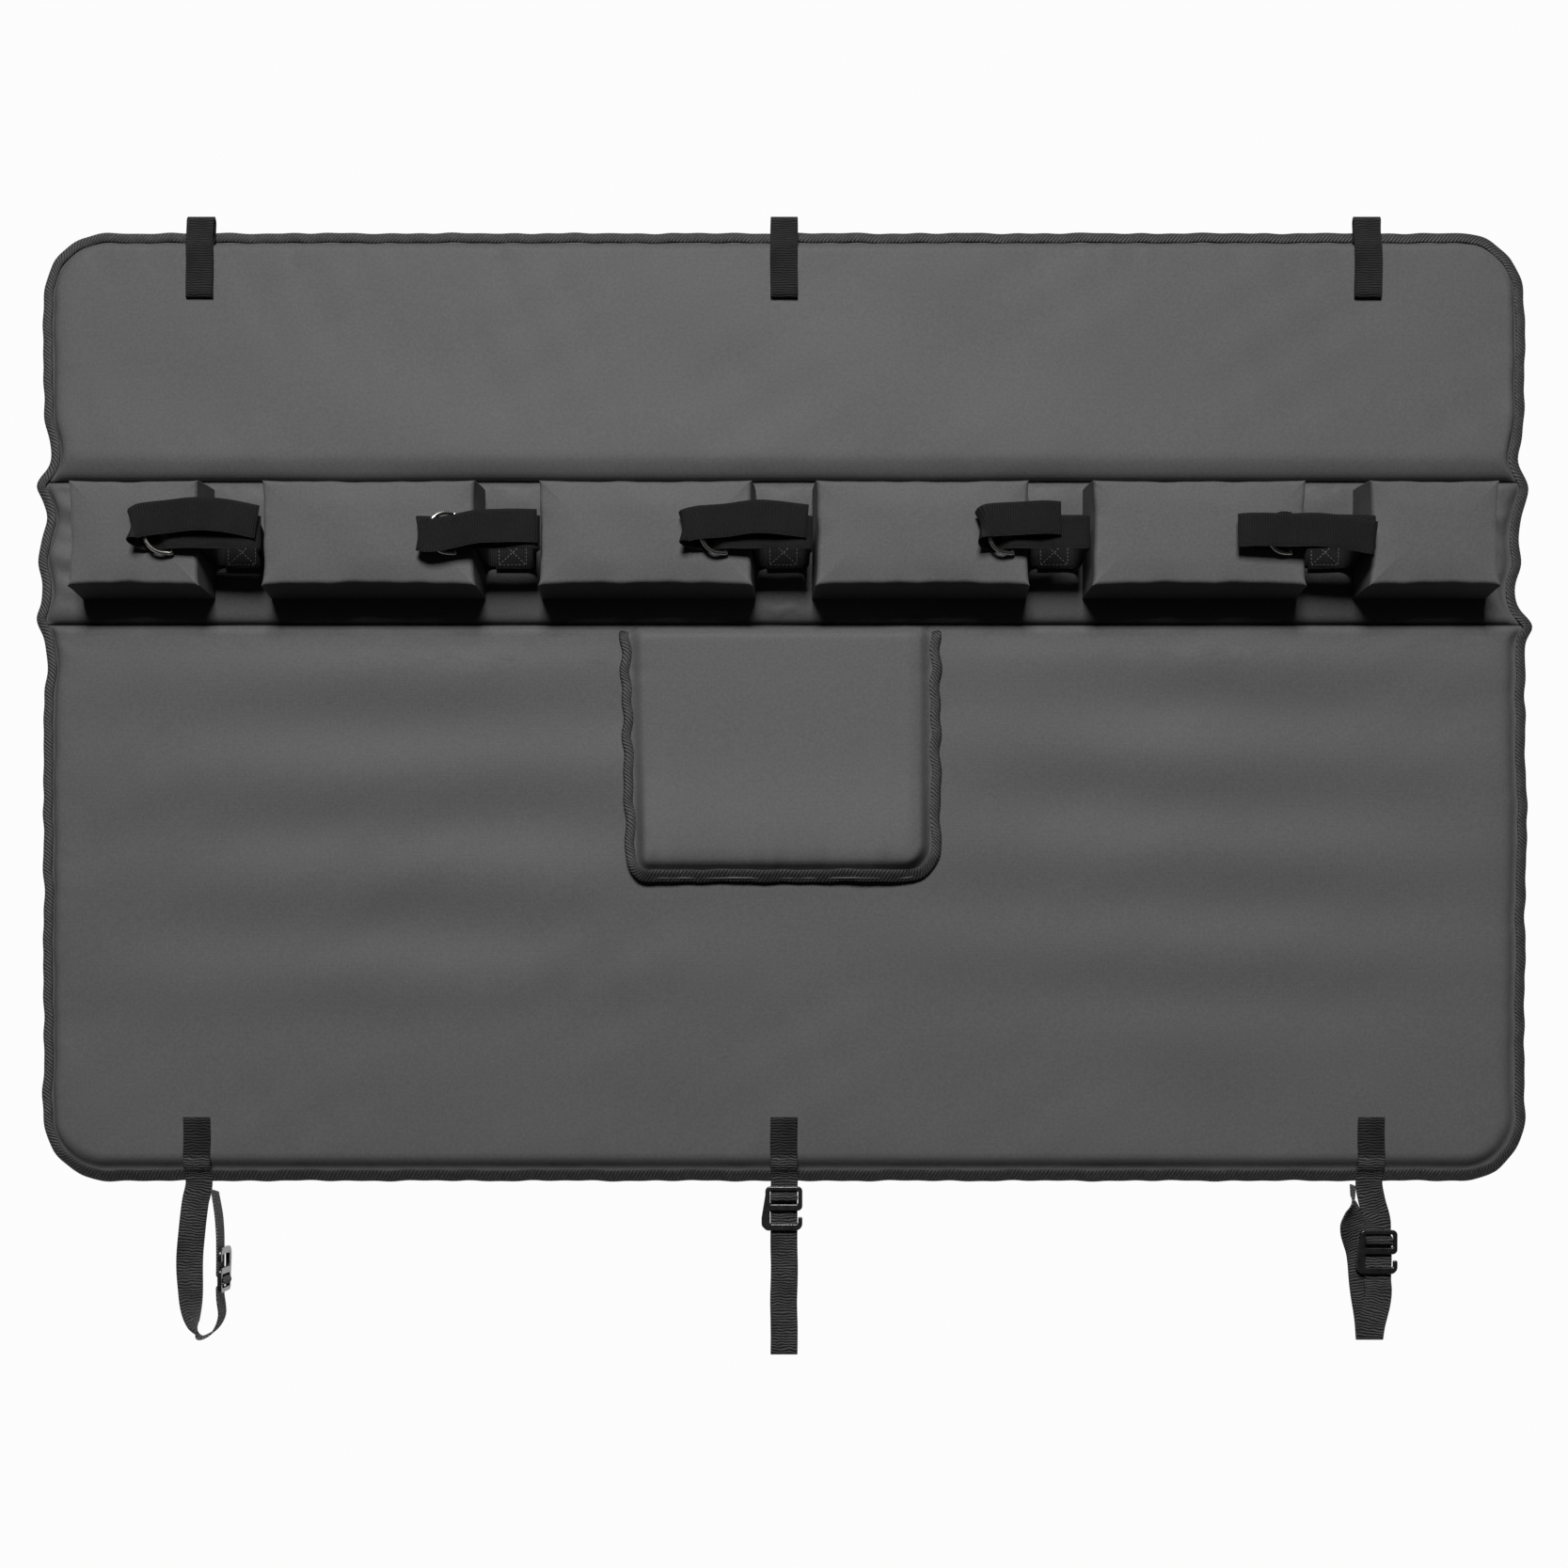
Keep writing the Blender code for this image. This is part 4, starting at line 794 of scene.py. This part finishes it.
# How far past the left wall each strap folds and its ring lies, how far past the right wall it
# bulges and ends, and where its band lies at its left end, its middle and its right end
BIKE_STRAPS = (
    (0.0545, 0.0215, -0.0005, -0.0015, (0.0132, 0.0185, 0.0119)),
    (0.0475, 0.0165, 0.0005, -0.0005, (-0.0006, 0.0070, 0.0086)),
    (0.0605, 0.0225, -0.0045, -0.0085, (0.0108, 0.0155, 0.0125)),
    (0.0435, 0.0145, -0.0055, -0.0315, (0.0130, 0.0150, 0.0153)),
    (0.0625, 0.0145, 0.0015, 0.0005, (0.0048, 0.0036, -0.0023)),
)


def webbing_material(name, dark, light, wander, scale, depth, patch_length=0.0):
    """Polypropylene webbing: dull black yarn in ribs across it, 2 to 2.6 mm from rib to rib,
    that wander a little, with finer warp threads along it.  Its colour runs from dark
    between the ribs to light on their crests: the yarn's own tone, and a painted sheen on
    the crests.  It is drawn darker over its first length, up to patch_length, the patch that is
    sewn down."""
    made, tree, shader = new_finish(name)
    place = node(tree, "ShaderNodeUVMap", uv_map="UVMap").outputs[0]
    drift = node(tree, "ShaderNodeTexNoise", {"Vector": place, "Scale": 120.0, "Detail": 1.0})
    drift = node(tree, "ShaderNodeVectorMath", {0: drift.outputs["Color"], "Scale": wander},
                 operation="SCALE")
    moved = node(tree, "ShaderNodeVectorMath", {0: place, 1: drift.outputs[0]}, operation="ADD")
    ribs = waves(tree, moved.outputs[0], scale, "X")
    weave = combine(tree, "MULTIPLY_ADD", ribs, 0.75, waves(tree, place, 330.0, "Y"))
    height = combine(tree, "MULTIPLY", ribs, noise(tree, place, 38.0, 3.0))
    height = combine(tree, "MULTIPLY", height, 1.7, use_clamp=True)
    along = node(tree, "ShaderNodeSeparateXYZ", {0: place}).outputs["X"]
    # The patch is drawn darker than the rest of the strap
    sewn = mapped(tree, combine(tree, "LESS_THAN", along, patch_length), 1.0, 0.40)
    shade = node(tree, "ShaderNodeVectorMath", {0: blend(tree, height, dark, light), 1: sewn},
                 operation="MULTIPLY")
    feed(tree, shader, {"Base Color": shade.outputs[0], "Normal": bump(tree, weave, depth),
                        "Roughness": 0.65, "Specular IOR Level": 0.3})
    return made


# One black webbing in three tones: the paler rib crests are painted sheen, palest on the loose
# tailgate straps, less on the doubled loops and least on the tight bands
band_webbing = webbing_material("tight_polypropylene_webbing", "#0a0a0a", "#1e1e1e", 0.0015,
                                157.0, 0.0005)
sewn_webbing = webbing_material("doubled_polypropylene_webbing", "#121212", "#3a3a3a", 0.0030,
                                140.0, 0.0007)
loose_webbing = webbing_material("ribbed_polypropylene_webbing", "#1a1a1a", "#6c6c6c", 0.0040,
                                 121.0, 0.0009, patch_length=0.036)

# Bonded polyester thread, a little paler than the webbing that it is sewn through
thread, tree, shader = new_finish("bonded_polyester_thread")
twist = noise(tree, node(tree, "ShaderNodeTexCoord").outputs["Object"], 900.0)
feed(tree, shader, {"Base Color": blend(tree, twist, "#343434", "#6c6c6c"), "Roughness": 0.45})

# Nickel plated steel wire: bright, with light brushing
nickel, tree, shader = new_finish("nickel_plated_wire")
haze = noise(tree, node(tree, "ShaderNodeTexCoord").outputs["Object"], 160.0, 3.0)
feed(tree, shader, {"Base Color": linear("#b9b7b2"), "Metallic": 1.0,
                    "Roughness": mapped(tree, haze, 0.18, 0.34)})


def smooth_path(points, steps):
    """Stations on a curve through rows of numbers, with steps spans from row to row.

    Cubic spans whose slope at a row is the harmonic mean of its neighbours', or none where
    they turn back, so the curve never swings past a row.
    """
    rows = np.array(points, float)
    length = np.linalg.norm(np.diff(rows[:, :3], axis=0), axis=1)
    straight = np.diff(rows, axis=0) / length[:, None]
    before, after = straight[:-1], straight[1:]
    onward = before * after > 0
    mean = 2 * before * after / np.where(onward, before + after, 1.0)
    slope = np.vstack((straight[:1], np.where(onward, mean, 0.0), straight[-1:]))
    t = (np.arange(steps) / steps)[None, :, None]
    run = length[:, None, None]
    spans = (rows[:-1, None] * (2 * t**3 - 3 * t**2 + 1) + rows[1:, None] * (3 * t**2 - 2 * t**3)
             + slope[:-1, None] * run * (t**3 - 2 * t**2 + t)
             + slope[1:, None] * run * (t**3 - t**2))
    return np.vstack((spans.reshape(-1, rows.shape[1]), rows[-1:]))


def carried(stations):
    """Along a strap's stations: centre, unit vectors across it and out of its face, length."""
    centre, roll, turn = stations[:, :3], stations[:, 3], stations[:, 4]
    side = np.stack((np.cos(roll) * np.cos(turn), np.sin(turn), np.sin(roll)), 1)
    along = np.gradient(centre, axis=0)
    along /= np.linalg.norm(along, axis=1)[:, None]
    side -= along * (side * along).sum(1)[:, None]
    side /= np.linalg.norm(side, axis=1)[:, None]
    return centre, side, np.cross(side, along), length_along(centre)


def strap(name, stations, width, seed, material=band_webbing):
    """Webbing along stations of x, y, z, roll and turn: an oval section carried along them."""
    centre, side, face, length = carried(stations)
    w, t = width / 2, WEBBING / 2
    across = np.array([-w + 0.0002, -w * 0.75, -w * 0.4, 0, w * 0.4, w * 0.75, w - 0.0002, w])
    section = np.vstack((np.stack((across, np.full(8, t)), 1)[:-1], [(w, 0.0)],
                         np.stack((across[::-1], np.full(8, -t)), 1)[1:], [(-w, 0.0)]))
    wander = 0.0003 * ripple(length, (0.05, 0.085), seed)
    points = (centre[:, None] + side[:, None] * (section[:, 0] + wander[:, None])[..., None]
              + face[:, None] * section[:, 1][None, :, None])
    place = np.concatenate((section[:, 0], section[:1, 0]))
    uv = np.stack(np.meshgrid(length, place, indexing="ij"), -1)
    made = build(name, points, material, loop=True, ends=True, uv=uv)
    weld(made, 0.000001)
    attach(made, "root")
    return made


def dashes(corners):
    """Stitches along a line of corners, as rows of start and end in the strap's own plane."""
    rows = []
    for start, end in zip(np.array(corners[:-1]), np.array(corners[1:])):
        many = max(int(np.linalg.norm(end - start) / STITCH_STEP), 1)
        firsts = np.arange(many)[:, None] / many
        lasts = firsts + (1 - STITCH_GAP / STITCH_STEP) / many
        rows.append(np.hstack((start + (end - start) * firsts, start + (end - start) * lasts)))
    return np.vstack(rows)


def box_cross(first, last, half):
    """Stitches of a box with a cross in it, from one length along a strap to another."""
    box = [(first, -half), (last, -half), (last, half), (first, half), (first, -half)]
    return np.vstack((dashes(box), dashes([(first, -half), (last, half)]),
                      dashes([(first, half), (last, -half)])))


def stitch(name, stations, rows, out=1.0):
    """Thread laid on a strap's face: a short six-sided bead for each stitch, made all at once."""
    centre, side, face, length = carried(stations)
    share = np.array([0.0, 0.12, 0.5, 0.88, 1.0])
    fat = np.array([0.25, 0.85, 1.0, 0.85, 0.25]) * THREAD_RADIUS
    turn = np.linspace(0, 2 * np.pi, 7)[:-1]
    flat = rows[:, None, :2] * (1 - share)[:, None] + rows[:, None, 2:] * share[:, None]
    way = rows[:, 2:] - rows[:, :2]
    way = way / np.linalg.norm(way, axis=1)[:, None]
    beside = np.stack((-way[:, 1], way[:, 0]), 1)[:, None, None]
    offset = (np.cos(turn) * fat[:, None])[None, ..., None] * beside
    spot = flat[:, :, None] + offset
    lift = np.broadcast_to((np.sin(turn) * fat[:, None])[None], spot.shape[:3])
    lift = out * (WEBBING / 2 + 0.00012 + 0.7 * lift)
    frames = [np.stack([np.interp(spot[..., 0], length, line[:, k]) for k in range(3)], -1)
              for line in (centre, side, face)]
    points = frames[0] + frames[1] * spot[..., 1:] + frames[2] * lift[..., None]
    ring = np.arange(points.size // 3).reshape(len(rows), len(share), len(turn))
    after = np.roll(ring, -1, 2)
    quads = np.stack((ring[:, :-1], after[:, :-1], after[:, 1:], ring[:, 1:]), -1).reshape(-1, 4)
    caps = np.vstack((ring[:, 0, ::-1], ring[:, -1]))
    made = smooth_mesh(name, points, quads.tolist() + caps.tolist(), thread)
    weld(made, 0.0000001)
    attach(made, "root")


def along_x(y, *places):
    """Rows of a strap that runs along x at one y, through places of x and z."""
    return [(x, y, z, *FACING_Y) for x, z in places]


def keeper_rows(wall, ring_x):
    """Rows of the keeper: from the gap's floor up the wall, round the ring's bar and back."""
    foot, head, centre = wall + 0.00435, wall + 0.00135, wall + GAP_HALF
    low = PANEL_HEIGHT + LIFT
    return along_x(
        PATCH_Y, (centre + 0.016, low), (foot + 0.008, low), (foot + 0.0018, low + 0.0035),
        (foot, low + 0.012),
    ) + along_x(
        RING_Y, (head + 0.001, BLOCK_TOP - 0.009), (head - 0.002, BLOCK_LYING - 0.0012),
        (head - 0.008, BLOCK_LYING + 0.0003), (ring_x, RING_SEAT - WRAP),
        (ring_x - WRAP, RING_SEAT), (ring_x, RING_SEAT + WRAP),
        (ring_x + 2 * WRAP, BLOCK_LYING + WEBBING + 0.0006),
    )


def bike_strap_rows(wall, reach):
    """Rows of a bike strap: its patch, up and over to the left, through its ring and back."""
    past, ring, past_right, tail, (left_y, middle_y, right_y) = reach
    centre, far_wall, ring_x, fold = wall + GAP_HALF, wall + 2 * GAP_HALF, wall - ring, wall - past
    low = PANEL_HEIGHT + LIFT + WEBBING + 0.0003
    ring_end = ring_x - RING_LENGTH * math.cos(RING_TILT)
    far = RING_SEAT + RING_LENGTH * math.sin(RING_TILT)
    over, double = OVER_RING + 0.001, WEBBING + 0.0006
    return along_x(
        PATCH_Y, (centre - 0.016, low), (centre + 0.011, low), (centre + 0.017, low + 0.0016),
        (far_wall - 0.008, low + 0.009),
    ) + along_x(
        RING_Y, (far_wall - 0.0065, BLOCK_TOP - 0.012), (far_wall + past_right, BLOCK_TOP + 0.007),
        (far_wall + past_right - 0.010, over + 0.001), (centre, over),
        (ring_x + 0.002, OVER_RING + 0.0003),
        (ring_x - 0.7 * OVER_WRAP, RING_SEAT + 0.85 * OVER_WRAP),
        (ring_x - 1.6 * OVER_WRAP, RING_SEAT + 0.25 * OVER_WRAP),
        (ring_x - 2.5 * OVER_WRAP, RING_SEAT - 0.1 * OVER_WRAP), (ring_end, RING_SEAT),
    ) + [
        (fold, (RING_Y + left_y) / 2, far - 0.0003, *FACING_Y),
        (ring_end, left_y, far + RING_WIRE / 2 + 2 * LIFT, *FACING_Y),
        (ring_x, (left_y + middle_y) / 2, OVER_RING + WEBBING + double + 0.003, *FACING_Y),
        (centre - 0.020, middle_y, over + double + 0.006, *FACING_Y),
        (far_wall + tail, right_y, over + 0.001 + double, *FACING_Y),
    ]


def wire(name, line, radius, material, closed=True):
    """Round wire along a line of points: a twelve-sided ring carried along it, square to it."""
    along = (np.roll(line, -1, 0) - np.roll(line, 1, 0)) if closed else np.gradient(line, axis=0)
    along /= np.linalg.norm(along, axis=1)[:, None]
    upright = np.where(np.abs(along[:, 2:]) > 0.9, (0.0, 1.0, 0.0), (0.0, 0.0, 1.0))
    up = upright - along * (along * upright).sum(1)[:, None]
    up /= np.maximum(np.linalg.norm(up, axis=1), 1e-6)[:, None]
    beside = np.cross(along, up)
    turn = np.linspace(0, 2 * np.pi, 13)[:-1]
    points = line[:, None] + radius * (np.cos(turn)[None, :, None] * up[:, None]
                                       + np.sin(turn)[None, :, None] * beside[:, None])
    made = build(name, points, material, loop=True, closed=closed, ends=not closed)
    weld(made, 0.000001)
    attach(made, "root")
    return made


for number, reach in enumerate(BIKE_STRAPS, 1):
    wall = (number - 3) * GAP_PITCH - GAP_HALF
    ring_x = wall - reach[1]
    turn = np.linspace(0, np.pi, 41)
    bow_reach = RING_LENGTH * (0.3 + 0.7 * np.sin(turn))
    bow = np.stack((-bow_reach * math.cos(RING_TILT), RING_HALF * np.cos(turn),
                    bow_reach * math.sin(RING_TILT)), 1)
    bar = np.stack((np.zeros(9), np.linspace(-RING_HALF, RING_HALF, 9), np.zeros(9)), 1)
    line = evenly(np.vstack((bar, bow)), 0.0012) + (ring_x, RING_Y, RING_SEAT)
    made = wire(f"d_ring_{number}", line, RING_WIRE / 2, nickel)
    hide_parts(f"strap_ring_{number}")
    made = strap(f"keeper_{number}", smooth_path(keeper_rows(wall, ring_x), 8), NARROW, number)
    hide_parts(f"ring_keeper_{number}")
    stations = smooth_path(bike_strap_rows(wall, reach), 10)
    made = strap(f"bike_band_{number}", stations, WIDE, 10 + number)
    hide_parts(f"bike_strap_{number}")
    # A box with a cross on its patch, a row along each edge of its band, and a bar tack
    end = length_along(stations[:, :3])[-1]
    stitch(f"patch_thread_{number}", stations, box_cross(0.003, 0.028, 0.0115), -1.0)
    band = [((end - 0.095, y), (end - 0.003, y)) for y in (-0.012, 0.012)]
    band.append(((end - 0.004, -0.011), (end - 0.004, 0.011)))
    band = np.vstack([dashes(row) for row in band])
    stitch(f"band_thread_{number}", stations, band)


# The three loops on the upper edge: 25 mm webbing, doubled and sewn down at both its ends.

PATCH_Z, EDGE_Z = PANEL_HEIGHT + LIFT, TAPE_HEIGHT + LIFT
PATCH_IN, LOOP_TIP = 0.0226, HIGH + 0.0125
# Webbing on its way over an edge: how far in it is, and what share of the drop lies behind it
OVER_EDGE = ((0.0246, 0.0), (0.0166, 0.06), (0.0124, 0.30), (0.0094, 0.65), (0.0045, 0.95),
             (0.0, 1.0))


def over_edge(edge, way):
    """Points of webbing from the panel's top down its shoulder and out over the tape."""
    return [(edge - way * back, PATCH_Z - share * (PATCH_Z - EDGE_Z)) for back, share in OVER_EDGE]


below = over_edge(HIGH, 1.0)
sewn = HIGH - PATCH_IN - 0.041
loop_path = [(sewn, PATCH_Z), *below, (LOOP_TIP - 0.004, EDGE_Z - 0.0012),
             (LOOP_TIP, EDGE_Z + 0.0022), (LOOP_TIP - 0.004, EDGE_Z + 0.0065),
             (HIGH, EDGE_Z + 0.0069), (below[1][0], below[1][1] + 0.0021),
             (below[0][0], below[0][1] + 0.0021), (sewn, PATCH_Z + 0.0018)]
for number, x in enumerate((-0.538, 0.0, 0.538), 1):
    stations = smooth_path([(x, y, z, *FACING_X) for y, z in loop_path], 8)
    made = strap(f"edge_loop_{number}", stations, NARROW, 20 + number, sewn_webbing)
    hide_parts(f"top_loop_{number}")
    end = length_along(stations[:, :3])[-1]
    stitch(f"loop_thread_{number}", stations, box_cross(end - 0.037, end - 0.003, 0.0098))


# The three tailgate straps with their hooks: 25 mm webbing sewn to the lower panel and woven
# through a flat cast hook, over a crossbar in its closed slot and behind its other bars.

HOOK_THICK, HOOK_BAR, HOOK_SLOT = 0.004, 0.004, 0.0122
HOOK_ROUND, SLOT_ROUND = 0.0009, 0.0015
SLOT_HALF, HOOK_RIGHT, HOOK_LEFT = 0.013, 0.017, -0.0208
TOP_BAR, SLOT_LOW, MOUTH_TOP, MOUTH_LOW, HOOK_END = 0.0042, -0.0164, -0.0225, -0.0347, -0.0408
CROSSBAR_Y, CROSSBAR_HALF = -0.0103, 0.0127

# Zinc casting with a black coating: glossy, its tone and gloss varying a little with noise
hook_finish, tree, shader = new_finish("black_coated_zinc_casting")
rub = noise(tree, node(tree, "ShaderNodeTexCoord").outputs["Object"], 180.0, 4.0)
feed(tree, shader, {"Base Color": blend(tree, rub, "#0b0b0b", "#1a1a1a"),
                    "Roughness": mapped(tree, rub, 0.22, 0.42),
                    "Coat Weight": 0.4, "Coat Roughness": 0.15})


def rounded(corners):
    """Outline through corners of x, y and radius: an arc of seven points at each."""
    outline = []
    for k, (x, y, radius) in enumerate(corners):
        here = np.array((x, y))
        back = np.array(corners[k - 1][:2]) - here
        ahead = np.array(corners[(k + 1) % len(corners)][:2]) - here
        back, ahead = back / np.linalg.norm(back), ahead / np.linalg.norm(ahead)
        half = math.acos(np.clip(back @ ahead, -1, 1)) / 2
        middle = back + ahead
        centre = here + middle / np.linalg.norm(middle) * radius / math.sin(half)
        start = here + back * radius / math.tan(half) - centre
        sweep = (math.pi - 2 * half) * (-1 if back[0] * ahead[1] - back[1] * ahead[0] > 0 else 1)
        for turn in np.linspace(0, sweep, 7):
            c, s = math.cos(turn), math.sin(turn)
            outline.append((centre[0] + c * start[0] - s * start[1],
                            centre[1] + s * start[0] + c * start[1]))
    return outline


def place_on(points, origin, axes):
    """Points of a hook's own frame put where its strap carries it."""
    return points @ np.array(axes) + np.array(origin)


def hook(name, origin, axes):
    """The cast plate: its outline and slot filled, made thick and given round edges."""
    step, tip = HOOK_LEFT + 0.0035, MOUTH_LOW + 0.0065
    outside = rounded([
        (step, 0.0, 0.0045), (step, -0.0077, 0.010), (HOOK_LEFT, -0.029, 0.010),
        (HOOK_LEFT, HOOK_END + 0.0045, 0.0045), (HOOK_LEFT + 0.0045, HOOK_END, 0.0045),
        (HOOK_RIGHT, HOOK_END, 0.0065), (HOOK_RIGHT, tip, SLOT_ROUND), (SLOT_HALF, tip, SLOT_ROUND),
        (SLOT_HALF, MOUTH_LOW, SLOT_ROUND), (-SLOT_HALF, MOUTH_LOW, SLOT_ROUND),
        (-SLOT_HALF, MOUTH_TOP, SLOT_ROUND), (HOOK_RIGHT, MOUTH_TOP, 0.0045),
        (HOOK_RIGHT, 0.0, 0.0045),
    ])
    slot_line = rounded([(x, y, SLOT_ROUND) for x, y in (
        (-SLOT_HALF, -TOP_BAR), (SLOT_HALF, -TOP_BAR), (SLOT_HALF, SLOT_LOW),
        (-SLOT_HALF, SLOT_LOW))])
    curve = bpy.data.curves.new(name, "CURVE")
    curve.dimensions, curve.fill_mode = "2D", "BOTH"
    curve.extrude, curve.offset = HOOK_THICK / 2 - HOOK_ROUND, -HOOK_ROUND
    curve.bevel_depth, curve.bevel_resolution = HOOK_ROUND, 2
    for line in (outside, slot_line):
        spline = curve.splines.new("POLY")
        spline.points.add(len(line) - 1)
        spline.points.foreach_set("co", np.array([(x, y, 0, 1) for x, y in line]).ravel())
        spline.use_cyclic_u = True
    drawn = add(name + "_drawn", curve)
    mesh = bpy.data.meshes.new_from_object(drawn)
    bpy.data.objects.remove(drawn)
    points = np.empty(len(mesh.vertices) * 3)
    mesh.vertices.foreach_get("co", points)
    mesh.vertices.foreach_set("co", place_on(points.reshape(-1, 3), origin, axes).ravel())
    mesh.materials.clear()
    mesh.materials.append(hook_finish)
    made = add(name, mesh)
    weld(made, 0.000002)
    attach(made, "root")
    return made


def threaded(origin, axes, roll):
    """Rows of webbing woven through a hook: behind, over its crossbar, and behind again."""
    under = -HOOK_THICK / 2 - LIFT - 0.0003
    over = HOOK_BAR / 2 + LIFT + 0.0001
    gap = (HOOK_SLOT - HOOK_BAR) / 4
    rise = [(HOOK_SLOT / 2, under - 0.00015), (HOOK_SLOT / 2 - 0.8 * gap, 0.75 * under),
            (HOOK_BAR / 2 + 0.8 * gap, 0.1 * under), (0.74 * over, 0.74 * over)]
    path = [(0.003, under)] + [(CROSSBAR_Y + run, z) for run, z in rise] + [(CROSSBAR_Y, over)]
    path += [(CROSSBAR_Y - run, z) for run, z in reversed(rise)]
    path += [(MOUTH_LOW, under), (HOOK_END - 0.004, under)]
    spots = place_on(np.array([(0.0, y, z) for y, z in path]), origin, axes)
    return [(*spot, roll, 0.0) for spot in spots]


def down(x, aside, drop, z, roll=0.0):
    """A row of a tailgate strap, by its distances from the strap's line and the pad's edge."""
    return (x + aside, LOW - drop, z, math.radians(roll), 0.0)


FLAT = ((1, 0, 0), (0, 1, 0), (0, 0, 1))
ON_EDGE = ((0, 0, 1), (0, -1, 0), (1, 0, 0))
FIRST, SECOND = LIFT, LIFT + WEBBING + 0.0003
HOOK_LIFT = HOOK_THICK / 2 + LIFT + 0.0003
STRAP_X, STANDING, MID = 0.541, 0.0211, 0.0125
# For each strap: its x, its hook's place, axes and roll, and its rows before and after the hook
TAILGATE_STRAPS = (
    (-STRAP_X, (0.027 - STRAP_X, LOW - 0.100, STANDING), ON_EDGE, 90,
     ((-0.004, 0.020, 0.0040), (-0.009, 0.070, 0.0035), (-0.008, 0.105, 0.0060, 15),
      (-0.003, 0.132, MID, 50), (0.006, 0.142, MID + 0.003, 75), (0.018, 0.136, MID + 0.006, 85),
      (0.0245, 0.120, STANDING - 0.003, 90)),
     ((0.022, 0.035, MID + 0.006, 90), (0.017, 0.008, MID + 0.002, 88))),
    (0.0, (0.0, LOW - 0.0045, EDGE_Z + HOOK_LIFT), FLAT, 0, (),
     ((0, 0.080, SECOND + 0.001), (0, 0.148, SECOND + 0.0025), (0, 0.157, SECOND + 0.0012),
      (0, 0.160, SECOND - 0.0006), (0, 0.156, FIRST + 0.0002), (0, 0.145, FIRST),
      (0, 0.012, FIRST))),
    (STRAP_X, (STRAP_X + 0.009, LOW - 0.045, SECOND + HOOK_LIFT), FLAT, 0,
     ((0.003, 0.018, 0.0042),),
     ((0.009, 0.100, SECOND + 0.003), (0.0015, 0.138, SECOND + 0.004),
      (0.001, 0.1445, SECOND + 0.003), (0.001, 0.1462, SECOND + 0.0008),
      (0.001, 0.1440, FIRST + 0.0006), (0.0005, 0.136, FIRST), (-0.005, 0.090, FIRST),
      (-0.008, 0.065, FIRST + 0.0003), (-0.016, 0.040, 0.0062, -20),
      (-0.017, 0.026, 0.0110, -50), (-0.017, 0.014, MID + 0.0008, -82),
      (-0.017, 0.003, MID + 0.0008, -85))),
)

for number, (x, origin, axes, roll, before, after) in enumerate(TAILGATE_STRAPS, 1):
    rows = [(x, y, z, *FACING_X)
            for y, z in [(LOW + PATCH_IN + 0.037, PATCH_Z)] + over_edge(LOW, -1.0)]
    rows += [down(x, *row) for row in before]
    rows += threaded(origin, axes, math.radians(roll))
    rows += [down(x, *row) for row in after]
    stations = smooth_path(rows, 8)
    made = strap(f"hook_strap_{number}", stations, NARROW, 30 + number, loose_webbing)
    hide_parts(f"tailgate_strap_{number}")
    stitch(f"hook_strap_thread_{number}", stations, box_cross(0.003, 0.034, 0.0098))
    made = hook(f"cast_hook_{number}", origin, axes)
    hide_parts(f"strap_hook_{number}")
    bar = np.zeros((9, 3))
    bar[:, 0], bar[:, 1] = np.linspace(-CROSSBAR_HALF, CROSSBAR_HALF, 9), CROSSBAR_Y
    line = place_on(bar, origin, axes)
    made = wire(f"crossbar_{number}", line, HOOK_BAR / 2, hook_finish, closed=False)
    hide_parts(f"hook_crossbar_{number}")
